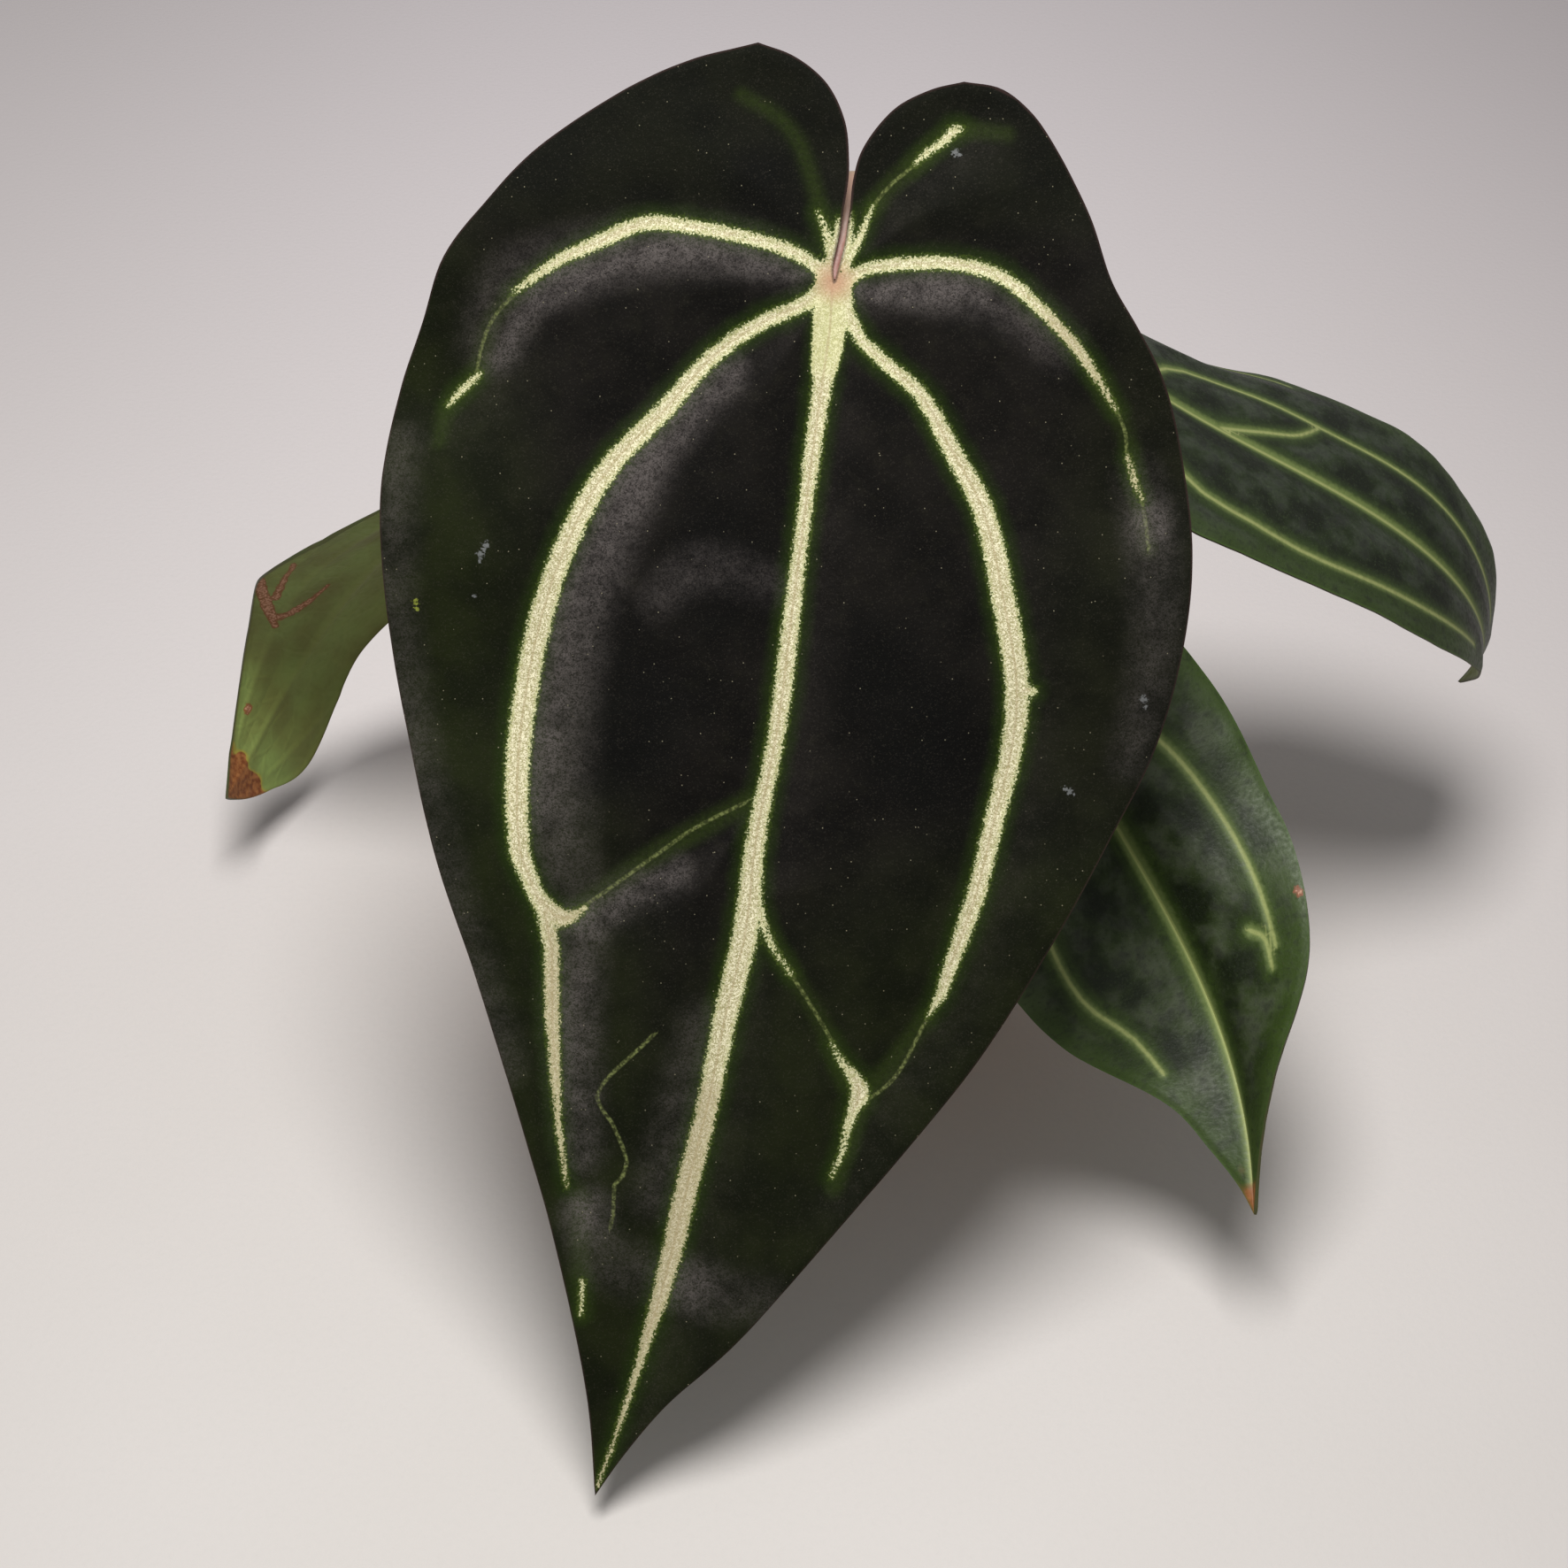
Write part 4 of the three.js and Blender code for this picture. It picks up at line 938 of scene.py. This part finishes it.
def chip(index, white):
    """One lump of bark or perlite, lying at random on the bed, inside the pot's wall."""
    if white:
        bpy.ops.mesh.primitive_ico_sphere_add(subdivisions=2, radius=0.5)
        size = draw.uniform(1.8, 3.4) * np.array([1, draw.uniform(0.7, 1), draw.uniform(0.6, 0.9)])
    else:
        bpy.ops.mesh.primitive_cube_add(size=1)
        size = np.array([draw.uniform(4, 11), draw.uniform(3, 6.5), draw.uniform(1.4, 3.6)])
    piece = named(bpy.context.object, f"chip_{index}")
    if not white:
        modify(piece, "BEVEL", width=0.16, segments=1)
    places = corners_of(piece) * MM
    places = places * size * (1 + draw.normal(0, MISSHAPEN, (len(places), 3)))
    turn, tip, roll = draw.uniform(0, 2 * np.pi), draw.normal(0, TIPPED), draw.normal(0, TIPPED)
    places = places @ np.array(Euler((roll, tip, turn)).to_matrix()).T
    reach = np.sqrt(draw.uniform(0.055, 0.84)) * SCATTER
    way = draw.uniform(0, 2 * np.pi)
    lift_by = draw.uniform(71.2, 74.6) - SUNK_IN_BED * abs(places[:, 2]).max()
    places += (reach * np.cos(way), reach * np.sin(way), lift_by)
    out = np.hypot(places[:, 0], places[:, 1])
    wall = BED_REACH + (places[:, 2] - BED_TOP) * WALL_SLOPE
    places[:, :2] *= np.minimum(1, wall / np.maximum(out, 1e-6))[:, None]
    paint(piece, tone=np.full(len(places), draw.uniform(0, 1)))
    return move_corners(piece, places)


chips = smooth(outward(join([chip(i, False) for i in range(CHIPS)], "bark_chips")), 30)
grit = smooth(outward(join([chip(CHIPS + i, True) for i in range(GRITS)], "perlite")), 60)
print("chips faces:", len(chips.data.polygons), "perlite faces:", len(grit.data.polygons))

# %% [markdown]
# ## Finishes
#
# Every finish is a Principled surface fed by procedural patterns. Patterns on leaves read the stored
# flat place in millimetres, so they lie in the skin and follow it wherever the leaf bends. Patterns on
# the pot, bark and stem read object coordinates. A finish is a few thin colours laid over each other:
# one loop lays them, and each row says where its colour shows. Colours are sRGB hex.

# %% Node tools


def colour(code):
    """An sRGB hex colour as the linear one that a node takes."""
    parts = [int(code[i:i + 2], 16) / 255 for i in (1, 3, 5)]
    return tuple(p / 12.92 if p <= 0.04045 else ((p + 0.055) / 1.055) ** 2.4 for p in parts) + (1.0,)


def fill(tree, node, sockets):
    """Sets sockets by name or number to a number, a hex colour or another node's output."""
    for key, value in sockets.items():
        if isinstance(value, bpy.types.NodeSocket):
            tree.links.new(value, node.inputs[key])
        else:
            node.inputs[key].default_value = colour(value) if isinstance(value, str) else value


def add(tree, kind, *values, out=0, **settings):
    """Adds a node and gives one of its outputs. values fill its sockets in order, or a dict by name."""
    node = tree.nodes.new("ShaderNode" + kind)
    count = len(tree.nodes)
    node.location = (-1600 + 190 * (count % 8), 700 - 210 * (count // 8))
    for key, value in settings.items():
        setattr(node, key, value)
    fill(tree, node, values[0] if values and isinstance(values[0], dict) else dict(enumerate(values)))
    return node.outputs[out]


def summed(tree, *terms, start=0.0):
    """A weighted sum, of rows with a pattern and its weight."""
    for pattern, weight in terms:
        start = add(tree, "Math", pattern, weight, start, operation="MULTIPLY_ADD")
    return start


def strength(tree, *factors):
    """The product of factors. Each is a number, a pattern, or a row: a pattern that is eased between
    two levels, and what it starts and ends at where that isn't 0 and 1."""
    product = None
    for factor in factors:
        if isinstance(factor, tuple):
            pattern, low, high, *ends = factor
            factor = add(tree, "MapRange", pattern, low, high, *(ends or (0, 1)),
                         interpolation_type="SMOOTHSTEP")
        product = factor if product is None else add(tree, "Math", product, factor, operation="MULTIPLY")
    return product


def layered(tree, face, *layers):
    """Lays colours over a face. Each row is a colour and the factors of its strength."""
    for over, *factors in layers:
        share = strength(tree, *factors)
        face = add(tree, "Mix", {0: share, 6: face, 7: over}, data_type="RGBA", out=2)
    return face


def finish(name, lumps, in_skin=False, **surface):
    """Starts a finish. Gives its material, its tree, the place in mm that patterns are drawn on, and a
    cloud pattern for each row of lumps: their size in mm, the detail, and what stretches the place
    first, if anything does. The surface's own levels stay constant."""
    material = bpy.data.materials.new(name)
    material.use_nodes = True
    tree = material.node_tree
    levels = {key.replace("_", " "): value for key, value in surface.items()}
    fill(tree, tree.nodes["Principled BSDF"], levels)
    if in_skin:
        place = add(tree, "Attribute", attribute_name="flat", out="Vector")
    else:
        metres = add(tree, "TexCoord", out="Object")
        place = add(tree, "VectorMath", {0: metres, "Scale": 1 / MM}, operation="SCALE")
    clouds = []
    for size, detail, *stretch in lumps:
        where = add(tree, "VectorMath", place, *stretch, operation="MULTIPLY") if stretch else place
        clouds.append(add(tree, "TexNoise", {"Vector": where, "Scale": 1 / size, "Detail": detail}))
    return material, tree, place, *clouds


def painted(tree, *names):
    """The numbers stored in the mesh under these names."""
    return [add(tree, "Attribute", attribute_name=name, out="Fac") for name in names]


def dress(tree, face, rough, height, depth):
    """Gives the surface its colour, its roughness and a bump of this many millimetres."""
    bump = add(tree, "Bump", {"Height": height, "Distance": depth * MM})
    fill(tree, tree.nodes["Principled BSDF"], {"Base Color": face, "Roughness": rough, "Normal": bump})


print("node tools ready")

# %% [markdown]
# ### Velvet leaf face
#
# The skin is covered with tiny cone-shaped cells, which trap light: it looks near black, with a grey
# glow where it turns to the lamp. A little sheen with a rough lobe stands for that glow, and the rest
# of it is painted sheen: grey grains painted into the colour. The cream bands are cells full of air, so
# they glitter in small grains, painted as paler and darker cream, have ragged edges with a dark green
# halo, and keep a thin tan line along the vein itself. Leaf wax has an IOR of about 1.45. The
# grains are drawn 0.17 mm across, which is coarser than the real cells, so that they still show.

# %% Velvet face
GRAIN = 0.17
DUST_SPACING = 1.3


def marks_near(tree, flat, marks, fray):
    """1 at each small round mark, with an edge frayed by noise."""
    found = 0.0
    for x, y, radius in marks:
        away = add(tree, "VectorMath", flat, (x, y, 0), operation="DISTANCE", out="Value")
        edge = summed(tree, (away, 1 / radius), (fray, 3))
        found = add(tree, "Math", found, strength(tree, (edge, 1.8, 2.5, 1, 0)), operation="MAXIMUM")
    return found


def velvet_face():
    material, tree, flat, broad, middle, small, tooth = finish(
        "velvet leaf face", [(11, 3), (2.6, 2), (0.7, 2), (0.4, 2)], in_skin=True, IOR=1.45,
        Sheen_Weight=0.012, Sheen_Roughness=0.4, Sheen_Tint="#b9b0b0", Specular_IOR_Level=0.1)
    inside, side, fine_inside, fine_side, rim = painted(
        tree, "band_inside", "band_side", "fine_inside", "fine_side", "rim")
    green, shade, glow, bloom, dull, web = painted(tree, "green", "shade", "glow", "bloom", "dull", "web")
    from_vein, from_fine = (add(tree, "Math", line, operation="ABSOLUTE") for line in (side, fine_side))
    from_hub = add(tree, "VectorMath", flat, operation="LENGTH", out="Value")
    grain = add(tree, "SeparateColor",
                add(tree, "TexVoronoi", {"Vector": flat, "Scale": 1 / GRAIN}, out="Color"))
    chances = add(tree, "TexVoronoi", {"Vector": flat, "Scale": 1 / DUST_SPACING}, out="Color")
    chosen = add(tree, "SeparateColor", chances, out=1)
    from_dust = chances.node.outputs["Distance"]

    patchy = (broad, 0.35, 0.65)
    ragged = summed(tree, (inside, 1), (tooth, 1.6), (middle, 0.5), (web, 0.9), start=-1.05)
    # Plum black cells, green toward the margins
    face = layered(
        tree, "#0b0a08",
        ("#151310", patchy),
        (layered(tree, "#121706", ("#1c220a", patchy)), green, (middle, 0.1, 0.9, 0.7, 1)),
        ("#201f16", (middle, 0.5, 0.8, 0, 0.3)),
        # Painted shade over the shaded cells and the lobes
        ("#080807", shade, 0.8),
        # Green light beside the bands and over fine veins
        ("#1d2b08", (summed(tree, (inside, 1), (middle, 1.2)), -2.2, 0.5, 0, 0.9)),
        ("#283410", glow, (small, 0.2, 0.7, 0.45, 0.8)),
        ("#7d8650", (from_fine, 0.12, 0.42, 1, 0), (fine_inside, -0.9, -0.2),
         (summed(tree, (small, 1), (tooth, 1)), 0.85, 1.25, 0.12, 0.75)),
        # Painted sheen in fine grey grains, painted glitter in tan specks, then dust and scuffs
        ("#625c5a", bloom, (summed(tree, (grain, 0.6), (small, 1)), 0.35, 1.1, 0.15, 0.8),
         (summed(tree, (middle, 1), (broad, 1)), 0.6, 1.3, 0.3, 1)),
        ("#6e685c", (grain, 0.8, 1, 0, 0.06)),
        ("#a09a80", (from_dust, 0.045, 0.09, 0.6, 0), (chosen, 0.55, 0.6)),
        ("#8e9192", marks_near(tree, flat, SCUFFS, tooth), 0.5),
        # The pale green fringe of the bands
        ("#46561f", (ragged, -0.75, 0, 0, 0.75)),
    )
    # Cream bands with painted glitter in their grains, greener along their ragged edges, with the vein
    # along their middle
    cream = layered(
        tree, "#a9a277",
        ("#f4eecd", (grain, 0.1, 0.95)),
        ("#b0aa80", (small, 0.45, 0.75, 0, 0.35)),
        ("#aeb678", (ragged, 0.1, 0.75, 0.5, 0)),
        ("#c9cc90", web, 0.5),
        ("#a8997a", dull, 0.45),
        ("#ac9c76", (from_vein, 0.08, 0.3, 0.5, 0), (inside, 0.5, 1)),
        ("#b98d74", (from_hub, 0.5, 4.5, 0.85, 0)),
    )
    band = strength(tree, (summed(tree, (ragged, 1), (grain, 0.3), start=-0.15), -0.12, 0.16))
    face = layered(tree, face, (cream, band), ("#8d963e", marks_near(tree, flat, SPOTS, tooth), 0.85),
                   ("#3a2a28", (rim, 0.1, 0.5, 0.7, 0)))
    dress(tree, face, strength(tree, (band, 0, 1, 0.78, 0.5)), summed(tree, (grain, 0.4), (small, 1)), 0.1)
    return material


print("velvet grain:", GRAIN, "mm")

# %% [markdown]
# ### Underside, cut edge and older leaves
#
# Beneath, the blade is smooth and mid green, with paler ribs and a net of small veins. Older leaves
# have lost the bands: they are satin dark green with light green veins, with grey painted sheen where
# they shine. The low leaf hangs steeply and gets less light, so its face is a lighter copy of the older
# face: its tones are painted lighter, as painted light.

# %% Underside, edge and older face
NET_MESH = 5.5
OLD_GRAIN = 0.3


def scarred(tree, face, fine, fibre):
    """The painted spots as healed wounds: a brown frayed edge round pale, cracked tissue."""
    spot = painted(tree, "spot")[0]
    frayed = summed(tree, (spot, 1), (fine, 0.9), (fibre, 0.9), start=-0.9)
    return layered(tree, face, ("#84492f", (frayed, 0.3, 0.75, 0, 0.85)),
                   ("#c79b80", (frayed, 0.8, 1.05), (fine, 0.4, 0.6, 0.2, 0.8)))


def underside(name, base, pale, rib):
    material, tree, flat, broad, small, fine, fibre = finish(
        name, [(12, 3), (1.2, 3), (0.5, 3), (1.6, 2)], in_skin=True, IOR=1.45, Specular_IOR_Level=0.25)
    inside, rim, dry = painted(tree, "band_inside", "rim", "dry")
    net = add(tree, "TexVoronoi", {"Vector": flat, "Scale": 1 / NET_MESH}, feature="DISTANCE_TO_EDGE")
    bent = summed(tree, (net, 1), (small, 0.08), start=-0.04)
    burnt = layered(tree, "#6a3a1e", ("#96643a", (small, 0.3, 0.7)))
    face = layered(
        tree, base,
        (pale, (broad, 0.3, 0.7)),
        ("#4c5526", (small, 0.45, 0.8, 0, 0.15)),
        (rib, (bent, 0.01, 0.1, 0.1, 0)),
        (rib, (inside, -0.9, 0.5, 0, 0.25)),
    )
    face = layered(
        tree, scarred(tree, face, fine, fibre),
        ("#9a8a34", (dry, 0.02, 0.3, 0, 0.7)),
        (burnt, (summed(tree, (dry, 1), (small, -0.3)), 0.15, 0.3)),
        ("#4a4222", (rim, 0.1, 0.6, 0.5, 0)),
    )
    relief = summed(tree, (small, 1), (strength(tree, (bent, 0, 0.12, 0.6, 0)), 1))
    dress(tree, face, strength(tree, (small, 0.2, 0.8, 0.5, 0.62)), relief, 0.08)
    return material


def leaf_edge(name, code):
    material, tree, _, broad, small = finish(name, [(3, 3), (0.5, 2)], in_skin=True, IOR=1.45)
    dress(tree, layered(tree, code, ("#4a3c26", broad)), 0.5, small, 0.05)
    return material


def older_face(name, dark, light, grey, lively, vein_edge, vein_core):
    material, tree, flat, broad, middle, small, fine, fibre = finish(
        name, [(9, 3), (3, 2), (0.8, 2), (0.5, 3), (1.6, 2)], in_skin=True, IOR=1.45,
        Specular_IOR_Level=0.35)
    inside, side, rim, dry = painted(tree, "band_inside", "band_side", "rim", "dry")
    from_vein = add(tree, "Math", side, operation="ABSOLUTE")
    grain = add(tree, "SeparateColor",
                add(tree, "TexVoronoi", {"Vector": flat, "Scale": 1 / OLD_GRAIN}, out="Color"))
    vein = layered(tree, vein_edge, (vein_core, (from_vein, 0.1, 0.6, 1, 0)))
    face = layered(
        tree, dark,
        (light, (broad, 0.35, 0.65)),
        ("#0a0e07", (middle, 0.5, 0.75, 0, 0.5)),
        # Painted sheen: grey patches where the satin face shines
        (grey, (summed(tree, (broad, 1), (middle, 0.6)), 0.7, 1, 0, 0.5), (inside, -2, -3.6)),
        ("#4c5a3c", (grain, 0.8, 1, 0, 0.15)),
        (lively, (rim, 0.5, 7, 0.75, 0)),
        (lively, (summed(tree, (inside, 1), (middle, 1.2)), -2.6, 0.7, 0, 0.85)),
        (dark, (middle, 0.52, 0.7, 0, 0.4)),
        (dark, (small, 0.5, 0.75, 0, 0.4)),
        (vein, (summed(tree, (inside, 1), (small, 0.9), start=-0.45), -1.15, 0.35, 0, 0.88)),
    )
    burnt = layered(tree, "#6b3f20", ("#a06a3c", small))
    face = layered(tree, scarred(tree, face, fine, fibre), (burnt, dry),
                   ("#3d5420", (rim, 0.1, 0.6, 0.6, 0)))
    relief = summed(tree, (grain, 0.3), (small, 1))
    dress(tree, face, strength(tree, (small, 0.3, 0.7, 0.42, 0.55)), relief, 0.06)
    return material


front_finishes = (
    velvet_face(),
    underside("big leaf underside", "#56623a", "#647244", "#7f8c56"),
    leaf_edge("big leaf margin", "#6e504a"),
)
old_under = underside("older leaf underside", "#6f7640", "#7d9150", "#8a9854")
old_edge = leaf_edge("older leaf margin", "#33481c")
old_top = older_face("older leaf face", "#11160a", "#212c14", "#3f423c", "#34431e", "#65733f", "#90965f")
# Painted light: a lighter copy of the older face for the low leaf, which hangs steeply and gets less light
low_top = older_face("low leaf face", "#161e0c", "#303e1a", "#53574b", "#394c1c", "#71814a", "#9ea768")
sets = [(front, front_finishes)]
sets += [(piece, (low_top if name == "leaf_low" else old_top, old_under, old_edge))
         for name, piece in old_blades.items()]
for piece, finishes in sets:
    for slot, material in enumerate(finishes):
        piece.data.materials[slot] = material
print("leaf finishes:", [material.name for _, finishes in sets for material in finishes])

# %% [markdown]
# ### Petioles and stem
#
# Petioles are smooth, green and finely mottled, and flushed brownish red at the geniculum and at the
# foot. The stem is woody with darker leaf scars, and its bracts are dry brown paper.

# %% Petioles, stem, bracts and roots


def petiole_skin():
    material, tree, _, small, broad = finish("petiole skin", [(1, 3), (9, 2)], IOR=1.45,
                                             Specular_IOR_Level=0.5)
    from_end, from_base = painted(tree, "from_end", "from_base")
    face = layered(
        tree, "#5d7336",
        ("#738a45", (broad, 0.3, 0.7)),
        ("#46592a", (small, 0.5, 0.8, 0, 0.5)),
        # Pinkish tan toward the blade: the geniculum's own colour, painted lighter as painted light where
        # the blade shades it
        ("#b08c7e", (from_end, 16, 30, 0.95, 0)),
        ("#7d4238", (from_end, 2, 12, 0.8, 0)),
        ("#7a4e38", (from_base, 4, 26, 0.7, 0)),
    )
    dress(tree, face, strength(tree, (small, 0.2, 0.8, 0.36, 0.5)), small, 0.08)
    return material


def stem_bark():
    material, tree, place, small, broad = finish("woody stem", [(0.9, 4), (5, 3)], IOR=1.45)
    height = add(tree, "SeparateXYZ", place, out=2)
    turn = add(tree, "Math", height, 2 * math.pi / SCAR_SPACING, operation="MULTIPLY")
    ring = add(tree, "Math", turn, operation="SINE")
    face = layered(
        tree, "#5e5a30",
        ("#746842", (broad, 0.35, 0.7)),
        ("#4b3420", (ring, -1, -0.4, 0.7, 0)),
        ("#8a7450", (small, 0.5, 0.8, 0, 0.6)),
    )
    dress(tree, face, 0.7, small, 0.25)
    return material


def papery_bract():
    material, tree, _, streak, small = finish("dry papery bract", [(0.7, 3, (1, 1, 0.12)), (2, 3)], IOR=1.5)
    face = layered(tree, "#6e4c2e", ("#a98a5f", (streak, 0.3, 0.7)),
                   ("#4a301c", (small, 0.55, 0.8, 0, 0.6)))
    dress(tree, face, 0.75, streak, 0.2)
    return material


def root_skin():
    material, tree, _, small, broad = finish("aerial root skin", [(0.8, 3), (4, 2)], IOR=1.45)
    face = layered(tree, "#8c7a56", ("#b3a685", (broad, 0.35, 0.7)),
                   ("#5c4a30", (small, 0.5, 0.8, 0, 0.6)))
    dress(tree, face, 0.8, small, 0.2)
    return material


def give(piece, material):
    piece.data.materials.clear()
    piece.data.materials.append(material)


skin = petiole_skin()
for piece in petioles.values():
    give(piece, skin)
give(stem, stem_bark())
give(bracts, papery_bract())
give(roots, root_skin())
print("stem finishes set")

# %% [markdown]
# ### Clay, bark and perlite
#
# Unglazed terracotta is matt and thirsty: water carries lime through its wall, which dries as a pale
# bloom, most of it low down and under the rim. Fine rings remain from turning. Fired clay has an IOR
# of about 1.5 and a roughness near 0.9. Bark is dark and fibrous, and perlite is white foamed glass.

# %% Clay, bark and perlite
PIT = 0.5


def terracotta():
    material, tree, place, rings, broad, small = finish(
        "unglazed terracotta", [(1.3, 3, (0.05, 0.05, 1.6)), (16, 4), (0.7, 3)], IOR=1.5,
        Specular_IOR_Level=0.3)
    height = add(tree, "SeparateXYZ", place, out=2)
    face = layered(
        tree, "#a85a3c",
        ("#bd7452", (broad, 0.3, 0.7)),
        ("#c98662", (rings, 0.5, 0.75, 0, 0.35)),
        ("#8a452c", (small, 0.6, 0.85, 0, 0.5)),
        ("#d8c2ae", (height, 2, 38, 1, 0.12), (broad, 0.42, 0.66), 0.6),
    )
    dress(tree, face, 0.88, summed(tree, (rings, 1), (small, 0.6)), 0.2)
    return material


def bark(name, dark, light):
    material, tree, _, fine, broad = finish(name, [(0.6, 4, (0.35, 1, 1)), (3, 3)], IOR=1.45,
                                            Specular_IOR_Level=0.3)
    face = layered(
        tree, dark,
        (light, *painted(tree, "tone")),
        ("#7d5b3d", (fine, 0.4, 0.7, 0, 0.6)),
        ("#23180f", (broad, 0.5, 0.75, 0, 0.7)),
    )
    dress(tree, face, 0.9, fine, 0.35)
    return material


def perlite():
    material, tree, place = finish("foamed perlite", [], IOR=1.5)
    pits = add(tree, "TexVoronoi", {"Vector": place, "Scale": 1 / PIT})
    dress(tree, layered(tree, "#e7e3da", ("#bcb6a8", (pits, 0.2, 0.7))), 0.85, pits, 0.15)
    return material


give(pot, terracotta())
give(chips, bark("bark chip", "#3a281a", "#6a4a30"))
give(mix, bark("fine bark bed", "#2a1d13", "#3c2a1c"))
give(grit, perlite())
print("pot finishes set")

# %% [markdown]
# ## On the frame
#
# Each piece is listed with the CAD node that it stands for, which is hidden, and a finish slot name,
# which nothing uses. Nothing moves, so all of them ride on the one body.

# %% Riding the frame
roles = [(pot, "pot", "clay")]
roles += [(piece, "potting_mix", "bark") for piece in (mix, chips, grit)]
roles += [(piece, "stem", "stem") for piece in (stem, bracts, roots)]
roles += [(piece, "leaf_front", "velvet") for piece in (front, petioles["leaf_front"])]
for name, blade_piece in old_blades.items():
    roles += [(piece, name, "older_leaf") for piece in (blade_piece, petioles[name])]
for piece, node, slot in roles:
    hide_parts(node)
    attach(piece, "root")
print("pieces:", len(roles))

# %% [markdown]
# ## Stage
#
# The plant stands on pale painted board under one wide soft lamp, straight above it, as in a room lit
# from the ceiling: each shadow lies beneath its leaf. The board's colour carries painted light: paler
# toward the back, darker toward the sides. The world is plain grey and fills the shadows.

# %% Floor, lamp and world
bpy.ops.mesh.primitive_plane_add(size=6)
floor = named(bpy.context.object, "floor")


def board_with_painted_light():
    material, tree, place, broad, small = finish("pale board with painted light", [(160, 3), (1.2, 3)], IOR=1.5,
                                                 Specular_IOR_Level=0.3)
    x, y = (add(tree, "SeparateXYZ", place, out=axis) for axis in (0, 1))
    # Painted light: the board is paler and mauve toward the back, darker toward the right, and a little
    # darker toward the left
    face = layered(
        tree, "#cecac6",
        ("#d2cecb", (broad, 0.3, 0.7)),
        ("#dad3d6", (y, -220, 420)),
        ("#aca5a6", (x, 0, 400, 0, 0.9)),
        ("#bfb9b8", (x, -60, -260, 0, 0.5)),
        ("#bdbbb8", (small, 0.4, 0.8, 0, 0.08)),
    )
    dress(tree, face, 0.8, small, 0.1)
    return material


give(floor, board_with_painted_light())

bpy.ops.object.light_add(type="AREA", location=(-0.03, -0.12, 0.78))
lamp = bpy.context.object
lamp.name = "soft_lamp"
lamp.data.shape = "DISK"
lamp.data.size = 0.36
lamp.data.energy = 6.0
lamp.data.color = (1.0, 0.985, 0.96)
lamp.rotation_euler = (Vector((-0.02, -0.06, 0)) - lamp.location).to_track_quat("-Z", "Y").to_euler()
world = bpy.data.worlds.new("soft grey")
world.use_nodes = True
fill(world.node_tree, world.node_tree.nodes["Background"], {"Color": "#ffffff", "Strength": 0.26})
scene.world = world
scene.view_settings.view_transform = "Standard"
print("stage set")

# %% [markdown]
# The camera looks down at 40 degrees, straight at the big leaf, from about half a metre away.

# %% Camera
bpy.ops.object.camera_add(location=(-0.003598, -0.386202, 0.356763), rotation=(math.radians(50), 0, 0))
camera = bpy.context.object
camera.data.sensor_width = 36
camera.data.lens = 62.78
camera.data.clip_start = 0.01
scene.camera = camera
print("camera", camera.data.lens, "mm")
